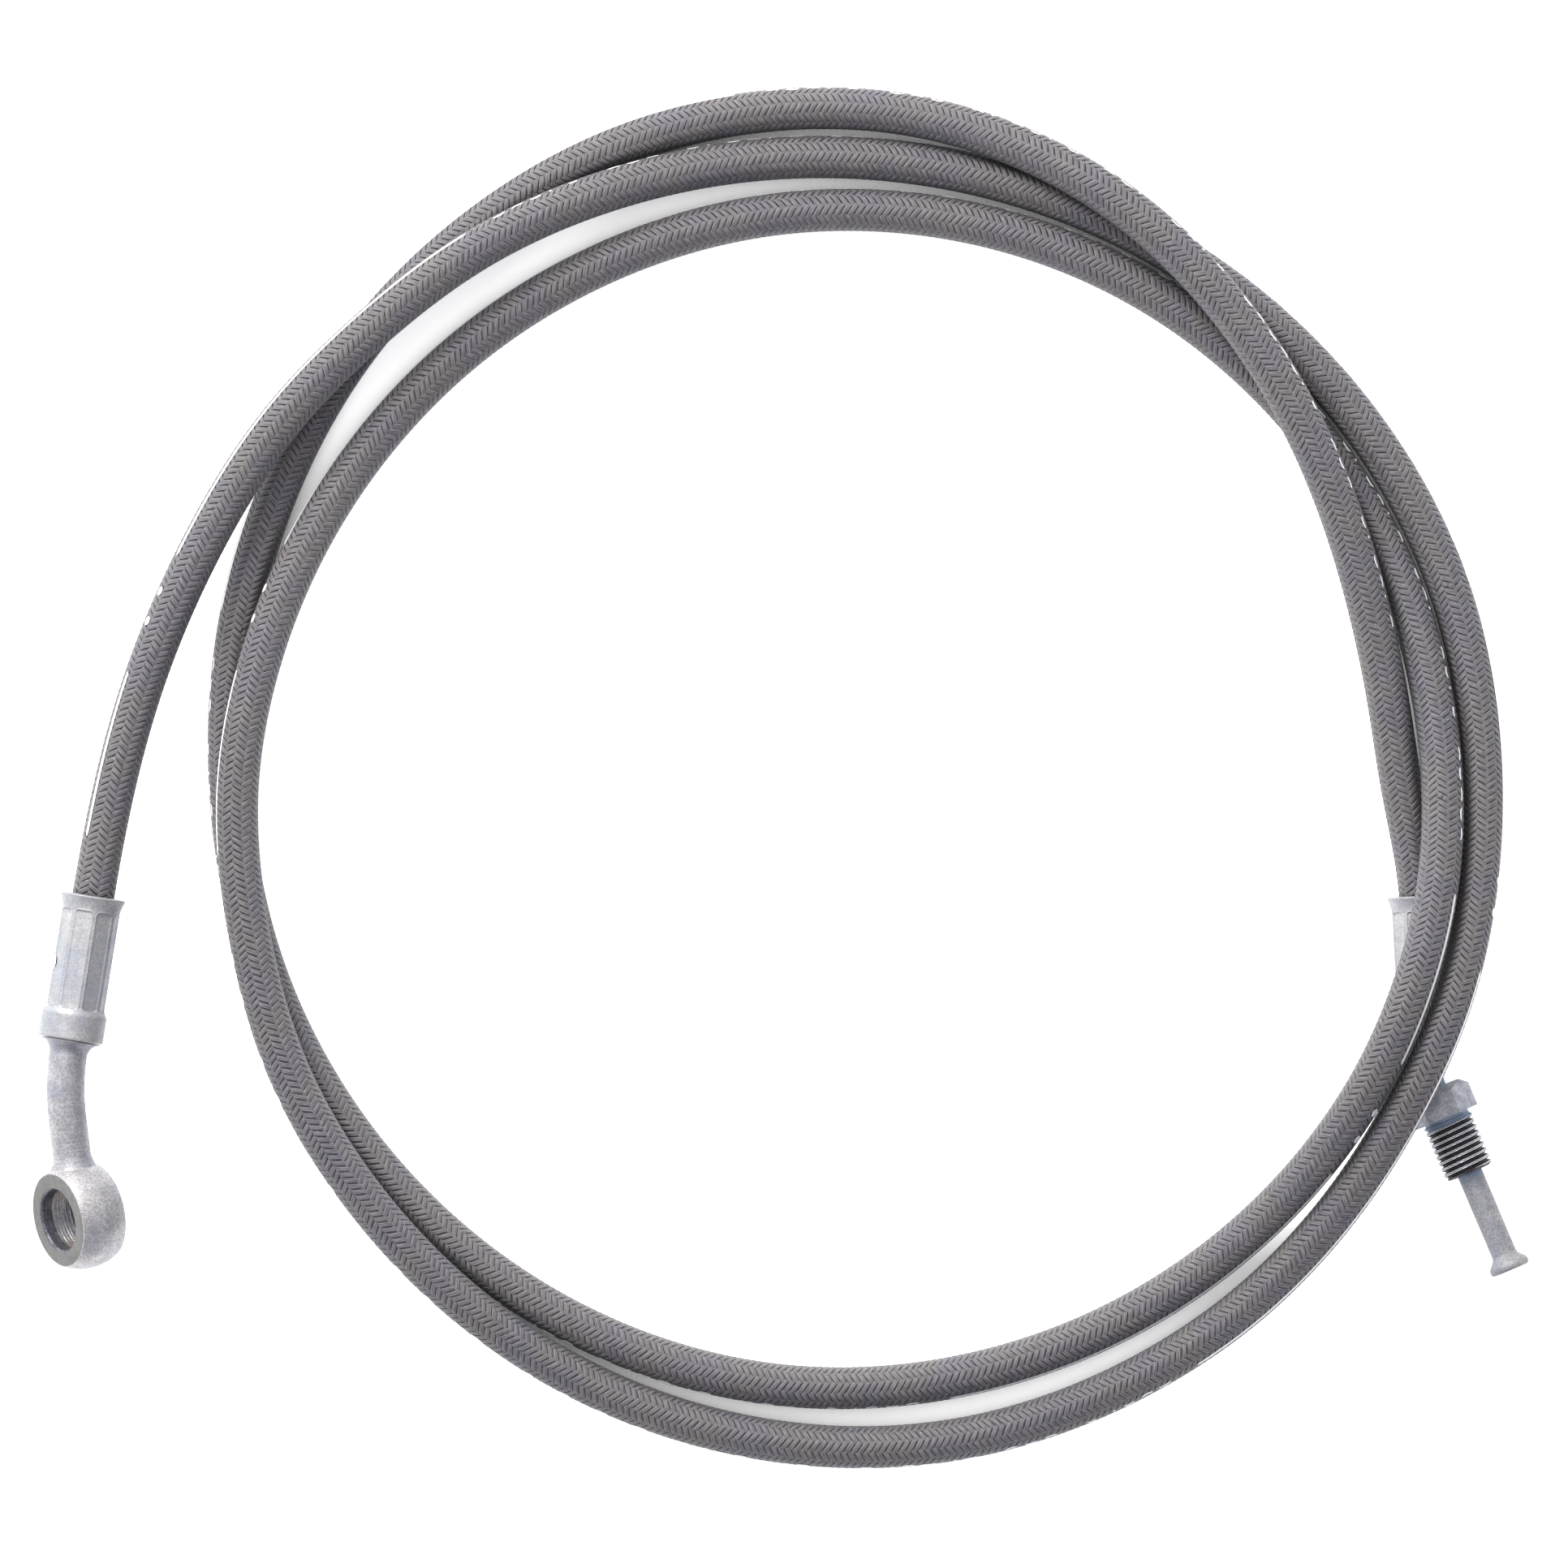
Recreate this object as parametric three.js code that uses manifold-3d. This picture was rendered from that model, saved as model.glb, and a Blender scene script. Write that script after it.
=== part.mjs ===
// Hydraulic hose assembly: a braid-covered hose lying in a flat coil, with a crimped banjo
// fitting on one end and a crimped steel tube with a loose flare nut on the other.
// Millimetres, +Z up. The origin is on the surface it lies on, below the middle of its box.
import * as THREE from 'three';
import { mergeVertices } from 'three/addons/utils/BufferGeometryUtils.js';
import Module from 'manifold-3d';

const wasm = await Module();
wasm.setup();

// ---------------------------------------------------------------- driving dimensions

// Hose layers: outer and inner radius of each, from the bore outwards.
const LINER = { outer: 2.35, inner: 1.7 };
const INNER_BRAID = { outer: 2.95, inner: 2.6 };
const RUBBER = { outer: 3.95, inner: 3.2 };
const COVER_BRAID = { outer: 4.8, inner: 4.2 };
const HOSE_SIDES = 8;

// Centre of the coil in the part's frame.
const COIL_CENTRE = [17.4, -0.2];

// The hose centreline: turn angle in degrees from +X, radius from the coil centre, height.
// It runs clockwise from the banjo end, two and a half turns, to the tube end.
const COIL_ROUTE = [
  // First turn: off the banjo end, over the third turn, round the outside.
  [172, 169.4, 16.3], [160, 163.6, 16.1], [148, 159.7, 15.9], [137, 156.0, 15.5],
  [126, 153.7, 14.6], [115, 151.2, 11.6], [104, 149.0, 7.2], [91, 147.0, 5.2],
  [77, 145.7, 5.0], [62, 145.3, 5.0], [46, 145.7, 5.0], [31, 146.7, 5.0],
  [18, 147.7, 5.5], [8, 148.0, 7.2], [-1, 148.4, 9.9], [-8, 149.0, 13.0],
  [-15, 149.8, 17.0], [-22, 150.5, 20.6], [-29, 151.0, 20.4], [-36, 152.1, 16.4],
  [-44, 153.7, 10.8], [-53, 155.4, 6.5], [-64, 156.8, 5.1], [-80, 158.3, 5.0],
  [-97, 158.0, 5.0], [-114, 156.4, 5.8], [-128, 154.4, 9.8], [-141, 152.4, 13.4],
  [-153, 150.6, 14.8], [-166, 147.7, 15.4],
  // Second turn: down to the surface inside the first, then up over the tube end's ferrule.
  [-179, 145.9, 15.6], [-191, 143.3, 13.8], [-202, 141.1, 9.5], [-213, 139.2, 6.0],
  [-227, 137.3, 5.0], [-243, 135.7, 5.0], [-260, 134.9, 5.0], [-279, 134.4, 5.0],
  [-298, 134.6, 5.0], [-314, 135.1, 5.0], [-329, 136.1, 5.1], [-342, 137.3, 7.1],
  [-352, 138.0, 10.6], [-361, 138.9, 15.0], [-368, 139.7, 19.0], [-375, 140.3, 22.8],
  [-382, 140.7, 25.0], [-389, 141.2, 23.8], [-396, 141.6, 19.0], [-404, 142.0, 12.2],
  [-413, 142.4, 7.0], [-424, 142.9, 5.1], [-440, 143.7, 5.0], [-457, 144.7, 5.0],
  [-474, 145.0, 5.0], [-492, 145.3, 5.0], [-509, 146.0, 5.0], [-525, 147.0, 5.0],
  // Last half turn: under the first, outermost at the back, then over both to the tube end.
  [-540, 148.0, 5.0], [-555, 150.4, 5.0], [-569, 153.2, 5.0], [-583, 156.2, 5.0],
  [-597, 158.4, 5.0], [-610, 159.8, 5.0], [-622, 159.4, 5.1], [-634, 157.7, 6.2],
  [-645, 154.2, 10.6], [-655, 149.6, 14.6], [-664, 144.6, 16.0], [-674, 138.9, 16.2],
  [-683, 134.3, 15.7], [-692, 130.6, 14.2], [-702, 128.0, 12.1], [-712, 127.5, 10.3],
  [-721, 129.5, 8.7],
];

// Crimped ferrules, one on each end. Lengths run from the mouth towards the fitting.
const FERRULE_LENGTH = 34.5;
const FERRULE_MOUTH_RADIUS = 7.8;
const FERRULE_WAIST_RADIUS = 6.8;
const FERRULE_BASE_RADIUS = 7.7;
const FERRULE_BORE = 5.3;
const FERRULE_SHOULDER_BORE = 3.4;
const FERRULE_SHOULDER = 2.4;
const MOUTH_FLARE = 4;
const BASE_BAND = 7.6;
const CRIMP_COUNT = 8;
const CRIMP_WIDTH = 4.2;
const CRIMP_DEPTH = 0.35;
const CRIMP_TURN = 12.4;
const CRIMP_MARGIN = 0.2;
const MOUTH_EDGE = { land: 0.9, chamfer: 0.5, countersink: 1.5 };
const BASE_RAMP = 1.2;

// Where the hose lies in a ferrule: its cut end from the base, then two more points of its
// straight run, one from the base and one past the mouth.
const HOSE_START = 4.5;
const HOSE_MIDDLE = 20;
const HOSE_LEAD = 2;

// Where each ferrule's mouth is, and the heading from its mouth to its base.
const BANJO_MOUTH = [-162.5, -27.9, 16.3];
const BANJO_HEADING = -99.1;
const TUBE_MOUTH = [151.1, -27.9, 7.8];
const TUBE_HEADING = -87;

// Banjo fitting: a cut ball with a bore across it, on a bent stem with a barbed tail.
const BALL_RADIUS = 12.75;
const EYE_THICKNESS = 12;
const EYE_BORE = 7.3;
const OIL_GROOVE = { radius: 8.3, width: 5 };
const EYE_AXIS = [-0.829, -0.19, 0.526];
const STEM_RADIUS = 4.5;
const STEM_PASSAGE = 1.5;
const STEM_TURN = 15.9;
const STEM_APEX = 10.7;
const STEM_STRAIGHT = 31.2;
const STEM_BEND = { in: 0.75, out: 0.26 };
const STEM_HIDDEN = 1;
const COLLAR = { radius: 7, length: 0.6, taper: 2.7, fillet: 0.9, rise: 0.75 };

// Tail that holds each hose end, inside the liner.
const TAIL_RADIUS = 1.35;
const TAIL_PASSAGE = 0.8;
const TAIL_NECK = 3.0;
const TAIL_LENGTH = 27;

// Steel tube end: straight from the insert, one bend, then straight to the flare.
const TUBE_OUTER = 3.0;
const TUBE_INNER = 2.0;
const TUBE_START = 1.3;
const BEND_START = 5.0;
const BEND_APEX = 8.6;
const TUBE_LINE = [154.49, -73.7];
const TUBE_LINE_HEADING = -67;
const FLARE_AT = 46.5;
const FLARE = { radius: 4.8, length: 3.2, rim: 1.2, lead: 2, ease: 0.6, rise: 0.5, face: 1.6 };
const TUBE_BEND_END = 0.4;

// Insert between the hose and the steel tube, and the brazing round the tube.
const INSERT_COLLAR = { radius: 5.4, length: 2.3 };
const BRAZE = { radius: 4.3, foot: 3.7, length: 1.1 };

// Tube nut M12 x 1.5 with a 14 mm hexagon.
const NUT_HEX = { across: 14, length: 7.3, turn: 4.4 };
const NUT_NECK = { radius: 5.4, length: 1.8 };
const NUT_THREAD = { radius: 5.95, root: 5.05, pitch: 1.5, turns: 8 };
const NUT_CHAMFER = { face: 0.7, depth: 2.3 };
const THREAD_FLAT = 0.1;
const NUT_TIP = 0.4;
const NUT_BORE = 3.3;

// Gap between pieces that touch, and how far a cutting or joining solid runs past a face.
const GAP = 0.3;
const PAST = 1;

// Sides of each round section.
const SIDES = { ferrule: 32, turned: 28, stem: 18, neck: 16, tail: 12, passage: 10, tube: 14, nut: 18 };
const RING_SIDES = 20;
const COLLAR_SIDES = 24;
const BALL_SIDES = 32;
const STEM_PASSAGE_SIDES = 8;
const BALL_STEPS = 6;
const STEM_STEPS = 10;
const PASSAGE_STEPS = 12;
const TUBE_STEPS = 14;

// ---------------------------------------------------------------- colours

const steel = (color) => new THREE.MeshStandardMaterial({ color, metalness: 0.85, roughness: 0.38 });
const soft = (color) => new THREE.MeshStandardMaterial({ color, metalness: 0, roughness: 0.85 });

const ZINC = 0xb9bcc4;
const ZINC_BLUE = 0xaab2c0;
const BRASS = 0xb59a5c;

// ---------------------------------------------------------------- helpers

const radians = THREE.MathUtils.degToRad;
const vec = (x, y, z) => new THREE.Vector3(x, y, z);
const heading = (degrees) => vec(Math.cos(radians(degrees)), Math.sin(radians(degrees)), 0);

// A closed mesh as a solid for cutting and joining.
function solid(geometry) {
  const bare = geometry.clone();
  bare.deleteAttribute('normal');
  bare.deleteAttribute('uv');
  const welded = mergeVertices(bare, 1e-5);
  const mesh = new wasm.Mesh({
    numProp: 3,
    vertProperties: new Float32Array(welded.attributes.position.array),
    triVerts: new Uint32Array(welded.index.array),
  });
  return new wasm.Manifold(mesh);
}

function toGeometry(manifold) {
  const mesh = manifold.getMesh();
  const geometry = new THREE.BufferGeometry();
  geometry.setAttribute('position', new THREE.BufferAttribute(mesh.vertProperties, 3));
  geometry.setIndex(new THREE.BufferAttribute(mesh.triVerts, 1));
  geometry.computeVertexNormals();
  return geometry;
}

const unite = (pieces) => pieces.reduce((whole, piece) => whole.add(piece));

// A solid of revolution about the Z axis, from a closed outline of [radius, height] points
// that climbs on its outer side.
function turned(outline, sides) {
  const points = [...outline, outline[0]].map(([r, z]) => new THREE.Vector2(r, z));
  const geometry = new THREE.LatheGeometry(points, sides);
  geometry.rotateX(Math.PI / 2);
  return geometry;
}

// A solid of revolution about the Z axis, from an outline that starts and ends on the axis.
function turnedSolid(outline, sides) {
  const points = outline.map(([r, z]) => new THREE.Vector2(r, z));
  return new THREE.LatheGeometry(points, sides).rotateX(Math.PI / 2);
}

function rod(radius, low, high, sides) {
  return turnedSolid([[0, low], [radius, low], [radius, high], [0, high]], sides);
}

function circle(radius, sides) {
  const at = (i) => new THREE.Vector2(
    radius * Math.cos((2 * Math.PI * i) / sides),
    radius * Math.sin((2 * Math.PI * i) / sides),
  );
  return Array.from({ length: sides }, (_, i) => at(i));
}

// A round section swept along a path, hollow where an inner radius is given.
function swept(path, steps, outer, inner, sides) {
  const section = new THREE.Shape(circle(outer, sides));
  if (inner > 0) section.holes.push(new THREE.Path(circle(inner, sides)));
  return new THREE.ExtrudeGeometry(section, { steps, extrudePath: path, bevelEnabled: false });
}

// A smooth curve that is sampled at the points it is made from.
class RouteCurve extends THREE.CatmullRomCurve3 {
  getPointAt(u, target) {
    return this.getPoint(u, target);
  }

  getTangentAt(u, target) {
    return this.getTangent(u, target);
  }
}

// A turned piece lies along its own +Z. In the part its +X is level and its +Y is uppermost.
function placement(origin, axis) {
  const side = vec(0, 0, 1).cross(axis).normalize();
  const up = axis.clone().cross(side);
  return new THREE.Matrix4().makeBasis(side, up, axis).setPosition(origin);
}

const placed = (geometry, origin, axis) => geometry.clone().applyMatrix4(placement(origin, axis));

function node(name, geometry, material) {
  const mesh = new THREE.Mesh(geometry, material);
  mesh.name = name;
  return mesh;
}

// ---------------------------------------------------------------- hose

const banjoAxis = heading(BANJO_HEADING);
const banjoMouth = vec(...BANJO_MOUTH);
const banjoBase = banjoMouth.clone().addScaledVector(banjoAxis, FERRULE_LENGTH);
const tubeAxis = heading(TUBE_HEADING);
const tubeMouth = vec(...TUBE_MOUTH);
const tubeBase = tubeMouth.clone().addScaledVector(tubeAxis, FERRULE_LENGTH);

// The straight run of hose inside and just outside a ferrule, from its hidden end outwards.
function ferruleRun(mouth, axis) {
  const depths = [FERRULE_LENGTH - HOSE_START, FERRULE_LENGTH - HOSE_MIDDLE, -HOSE_LEAD];
  return depths.map((depth) => mouth.clone().addScaledVector(axis, depth));
}

function hoseRoute() {
  const coil = COIL_ROUTE.map(([angle, radius, height]) => vec(
    COIL_CENTRE[0] + radius * Math.cos(radians(angle)),
    COIL_CENTRE[1] + radius * Math.sin(radians(angle)),
    height,
  ));
  return [
    ...ferruleRun(banjoMouth, banjoAxis), ...coil, ...ferruleRun(tubeMouth, tubeAxis).reverse(),
  ];
}

function hoseLayer(name, layer, material) {
  const points = hoseRoute();
  const path = new RouteCurve(points);
  const steps = points.length - 1;
  return node(name, swept(path, steps, layer.outer, layer.inner, HOSE_SIDES), material);
}

function hose() {
  return [
    hoseLayer('hose_liner', LINER, soft(0x1c1c1e)),
    hoseLayer('hose_inner_braid', INNER_BRAID, soft(0xc9c2ae)),
    hoseLayer('hose_rubber_layer', RUBBER, soft(0x232326)),
    hoseLayer('hose_cover_braid', COVER_BRAID, soft(0x6d6c72)),
  ];
}

// ---------------------------------------------------------------- crimped ferrule

// Turned sleeve along +Z from the mouth at 0, with a shoulder closing in at the base.
function ferruleSleeve() {
  const crimpEnd = FERRULE_LENGTH - BASE_BAND;
  const inside = FERRULE_LENGTH - FERRULE_SHOULDER;
  return turned([
    [FERRULE_BORE + MOUTH_EDGE.land, 0],
    [FERRULE_MOUTH_RADIUS, MOUTH_EDGE.chamfer],
    [FERRULE_WAIST_RADIUS, MOUTH_FLARE],
    [FERRULE_WAIST_RADIUS, crimpEnd],
    [FERRULE_BASE_RADIUS, crimpEnd + BASE_RAMP],
    [FERRULE_BASE_RADIUS, FERRULE_LENGTH],
    [FERRULE_SHOULDER_BORE, FERRULE_LENGTH],
    [FERRULE_SHOULDER_BORE, inside],
    [FERRULE_BORE, inside],
    [FERRULE_BORE, MOUTH_EDGE.countersink],
  ], SIDES.ferrule);
}

// One pressed flat, from just below the bell mouth to the base band.
function crimpFlat(index) {
  const length = FERRULE_LENGTH - BASE_BAND - MOUTH_FLARE - 2 * CRIMP_MARGIN;
  const block = new THREE.BoxGeometry(2 * PAST, CRIMP_WIDTH, length);
  const middle = MOUTH_FLARE + CRIMP_MARGIN + length / 2;
  block.translate(FERRULE_WAIST_RADIUS + PAST - CRIMP_DEPTH, 0, middle);
  return block.rotateZ(radians(CRIMP_TURN + (360 * index) / CRIMP_COUNT));
}

function ferrule(name, mouth, axis) {
  const flats = Array.from({ length: CRIMP_COUNT }, (_, i) => solid(crimpFlat(i)));
  const body = toGeometry(solid(ferruleSleeve()).subtract(unite(flats)));
  return node(name, placed(body, mouth, axis), steel(ZINC));
}

// ---------------------------------------------------------------- banjo fitting

// Half the ball's height above the surface when the rim of its lower face rests on it.
function ballRestHeight(axis) {
  const half = EYE_THICKNESS / 2;
  const rim = Math.sqrt(BALL_RADIUS ** 2 - half ** 2);
  return half * Math.abs(axis.z) + rim * Math.sqrt(1 - axis.z ** 2);
}

// Where the stem's two straight lines would meet.
function stemApex() {
  return banjoBase.clone().addScaledVector(banjoAxis, STEM_APEX);
}

function banjoPath(ballCentre) {
  const stemEnd = ballCentre.clone();
  const tip = banjoBase.clone();
  const bend = stemApex();
  const bendIn = bend.clone().lerp(banjoBase, STEM_BEND.in);
  const bendOut = bend.clone().lerp(stemEnd, STEM_BEND.out);
  const path = new THREE.CurvePath();
  path.add(new THREE.LineCurve3(tip, bendIn));
  path.add(new THREE.QuadraticBezierCurve3(bendIn, bend, bendOut));
  path.add(new THREE.LineCurve3(bendOut, stemEnd));
  return path;
}

function banjoBall(centre, axis) {
  const half = EYE_THICKNESS / 2;
  const rim = Math.sqrt(BALL_RADIUS ** 2 - half ** 2);
  const slope = Math.asin(half / BALL_RADIUS);
  const outline = [[0, -half], [rim, -half]];
  for (let i = 1; i <= BALL_STEPS; i += 1) {
    const angle = -slope + (2 * slope * i) / BALL_STEPS;
    outline.push([BALL_RADIUS * Math.cos(angle), BALL_RADIUS * Math.sin(angle)]);
  }
  outline.push([0, half]);
  return placed(turnedSolid(outline, BALL_SIDES), centre, axis);
}

function oilGroove() {
  return rod(OIL_GROOVE.radius, -OIL_GROOVE.width / 2, OIL_GROOVE.width / 2, SIDES.turned);
}

function banjoFitting() {
  const axis = vec(...EYE_AXIS).normalize();
  const centre = stemApex().addScaledVector(heading(BANJO_HEADING + STEM_TURN), STEM_STRAIGHT);
  centre.setZ(ballRestHeight(axis));
  const path = banjoPath(centre);
  const back = banjoAxis.clone().negate();
  const collar = turnedSolid([
    [0, -COLLAR.taper - COLLAR.length], [STEM_RADIUS, -COLLAR.taper - COLLAR.length],
    [STEM_RADIUS + COLLAR.rise, -COLLAR.length - COLLAR.fillet], [COLLAR.radius, -COLLAR.length],
    [COLLAR.radius, -GAP], [0, -GAP],
  ], SIDES.turned);
  const outside = [
    solid(banjoBall(centre, axis)),
    solid(swept(stemPath(path), STEM_STEPS, STEM_RADIUS, 0, SIDES.stem)),
    solid(placed(collar, banjoBase, back)),
    solid(placed(rod(FERRULE_SHOULDER_BORE - GAP, -PAST, TAIL_NECK, SIDES.neck), banjoBase, back)),
    solid(placed(rod(TAIL_RADIUS, -PAST, TAIL_LENGTH, SIDES.tail), banjoBase, back)),
  ];
  const inside = [
    solid(placed(rod(EYE_BORE, -EYE_THICKNESS, EYE_THICKNESS, SIDES.turned), centre, axis)),
    solid(placed(oilGroove(), centre, axis)),
    solid(swept(path, PASSAGE_STEPS, STEM_PASSAGE, 0, STEM_PASSAGE_SIDES)),
    solid(placed(rod(TAIL_PASSAGE, -PAST, TAIL_LENGTH + PAST, SIDES.passage), banjoBase, back)),
  ];
  return node('banjo_fitting', toGeometry(unite(outside).subtract(unite(inside))), steel(ZINC));
}

// The stem's path without its first stretch, which would stand out of the collar's face.
function stemPath(path) {
  const points = path.getSpacedPoints(4 * STEM_STEPS).filter((point) => {
    const depth = point.clone().sub(banjoBase).dot(banjoAxis);
    return depth > STEM_HIDDEN;
  });
  return new THREE.CatmullRomCurve3(points);
}

// ---------------------------------------------------------------- steel tube end

const nutAxis = heading(TUBE_LINE_HEADING);
const nutTop = vec(TUBE_LINE[0], TUBE_LINE[1], TUBE_MOUTH[2]);

function tubePath() {
  const start = tubeBase.clone().addScaledVector(tubeAxis, TUBE_START);
  const bendIn = tubeBase.clone().addScaledVector(tubeAxis, BEND_START);
  const bend = tubeBase.clone().addScaledVector(tubeAxis, BEND_APEX);
  const bendOut = nutTop.clone().addScaledVector(nutAxis, -TUBE_BEND_END);
  const end = nutTop.clone().addScaledVector(nutAxis, FLARE_AT - FLARE.length);
  const path = new THREE.CurvePath();
  path.add(new THREE.LineCurve3(start, bendIn));
  path.add(new THREE.QuadraticBezierCurve3(bendIn, bend, bendOut));
  path.add(new THREE.LineCurve3(bendOut, end));
  return path;
}

function flare() {
  const backFace = FLARE_AT - FLARE.length;
  return turned([
    [TUBE_OUTER, backFace - FLARE.lead],
    [TUBE_OUTER, backFace - FLARE.ease],
    [TUBE_OUTER + FLARE.rise, backFace + FLARE.ease],
    [FLARE.radius, FLARE_AT - FLARE.rim],
    [FLARE.radius, FLARE_AT - FLARE.rise],
    [FLARE.radius - FLARE.face, FLARE_AT],
    [TUBE_INNER, FLARE_AT],
    [TUBE_INNER, backFace - FLARE.lead],
  ], SIDES.tube);
}

function endTube() {
  const sleeve = solid(swept(tubePath(), TUBE_STEPS, TUBE_OUTER, TUBE_INNER, SIDES.tube));
  const tip = solid(placed(flare(), nutTop, nutAxis));
  return node('end_tube', toGeometry(sleeve.add(tip)), steel(ZINC_BLUE));
}

// Insert: tail inside the hose, neck through the ferrule's shoulder, collar against it.
function hoseInsert() {
  const back = tubeAxis.clone().negate();
  const body = [
    solid(rod(TAIL_RADIUS, -PAST, TAIL_LENGTH, SIDES.tail)),
    solid(rod(FERRULE_SHOULDER_BORE - GAP, -PAST, TAIL_NECK, SIDES.neck)),
    solid(rod(INSERT_COLLAR.radius, -INSERT_COLLAR.length - GAP, -GAP, COLLAR_SIDES)),
  ];
  const far = -INSERT_COLLAR.length - PAST;
  const cuts = [
    solid(rod(TAIL_PASSAGE, far, TAIL_LENGTH + PAST, SIDES.passage)),
    solid(rod(TUBE_OUTER + GAP, far, -TUBE_START + GAP, COLLAR_SIDES)),
  ];
  const whole = toGeometry(unite(body).subtract(unite(cuts)));
  return node('hose_insert', placed(whole, tubeBase, back), steel(ZINC));
}

function brazeRing() {
  const near = INSERT_COLLAR.length + 2 * GAP;
  const ring = turned([
    [TUBE_OUTER + GAP, near], [BRAZE.radius, near],
    [BRAZE.foot, near + BRAZE.length], [TUBE_OUTER + GAP, near + BRAZE.length],
  ], RING_SIDES);
  return node('braze_ring', placed(ring, tubeBase, tubeAxis), steel(BRASS));
}

// ---------------------------------------------------------------- tube nut

// Threaded shank along +Z, its grooves as rings one pitch apart.
function nutShank(start) {
  const { radius, root, pitch, turns } = NUT_THREAD;
  const outline = [[NUT_BORE, start - PAST], [NUT_NECK.radius, start - PAST]];
  outline.push([NUT_NECK.radius, start + NUT_NECK.length]);
  for (let i = 0; i < turns; i += 1) {
    const low = start + NUT_NECK.length + i * pitch;
    const crest = low + pitch / 2;
    outline.push([root, low + THREAD_FLAT], [radius, crest - THREAD_FLAT], [radius, crest + THREAD_FLAT]);
  }
  const end = start + NUT_NECK.length + turns * pitch;
  outline.push([root, end], [root, end + NUT_TIP], [NUT_BORE, end + NUT_TIP]);
  return turned(outline, SIDES.nut);
}

// Hexagon with its upper corners turned off to a cone.
function nutHexagon() {
  const corner = NUT_HEX.across / Math.sqrt(3);
  const prism = new THREE.CylinderGeometry(corner, corner, NUT_HEX.length, 6).rotateX(Math.PI / 2);
  prism.rotateZ(Math.PI / 2 + radians(NUT_HEX.turn)).translate(0, 0, NUT_HEX.length / 2);
  const cone = turnedSolid([
    [0, 0], [NUT_HEX.across / 2 - NUT_CHAMFER.face, 0], [corner + PAST, NUT_CHAMFER.depth],
    [corner + PAST, NUT_HEX.length + PAST], [0, NUT_HEX.length + PAST],
  ], SIDES.turned);
  return solid(prism).intersect(solid(cone));
}

function tubeNut() {
  const bore = solid(rod(NUT_BORE, -PAST, NUT_HEX.length + PAST, RING_SIDES));
  const nut = toGeometry(nutHexagon().subtract(bore).add(solid(nutShank(NUT_HEX.length))));
  return node('tube_nut', placed(nut, nutTop, nutAxis), steel(ZINC_BLUE));
}

// ---------------------------------------------------------------- assembly

const assembly = new THREE.Group();
assembly.add(
  ...hose(),
  banjoFitting(),
  ferrule('banjo_ferrule', banjoMouth, banjoAxis),
  ferrule('tube_ferrule', tubeMouth, tubeAxis),
  hoseInsert(),
  brazeRing(),
  endTube(),
  tubeNut(),
);

export default assembly;
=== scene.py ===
"""Visual model of a hydraulic hose assembly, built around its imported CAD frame.

Metres, +Z up, in the CAD's own frame. The hose lies in a flat coil, with a crimped banjo fitting
on one end and a crimped steel tube with a loose flare nut on the other.
"""
import math

import bpy
import numpy as np
from mathutils import Matrix, Vector


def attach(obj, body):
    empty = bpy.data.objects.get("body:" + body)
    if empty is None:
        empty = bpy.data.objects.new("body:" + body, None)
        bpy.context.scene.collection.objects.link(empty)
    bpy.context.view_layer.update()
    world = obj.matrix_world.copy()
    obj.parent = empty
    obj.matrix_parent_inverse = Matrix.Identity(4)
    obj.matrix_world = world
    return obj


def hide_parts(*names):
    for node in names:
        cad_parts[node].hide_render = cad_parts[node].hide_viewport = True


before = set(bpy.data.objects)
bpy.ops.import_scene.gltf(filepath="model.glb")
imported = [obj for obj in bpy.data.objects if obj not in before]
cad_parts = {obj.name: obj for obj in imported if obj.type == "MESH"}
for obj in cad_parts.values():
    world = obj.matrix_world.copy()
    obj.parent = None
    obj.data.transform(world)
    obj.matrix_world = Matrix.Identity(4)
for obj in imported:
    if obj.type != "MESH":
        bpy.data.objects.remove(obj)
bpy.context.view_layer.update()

# --- driving sizes, as in the CAD

COIL_CENTRE = (0.0174, -0.0002)

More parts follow.
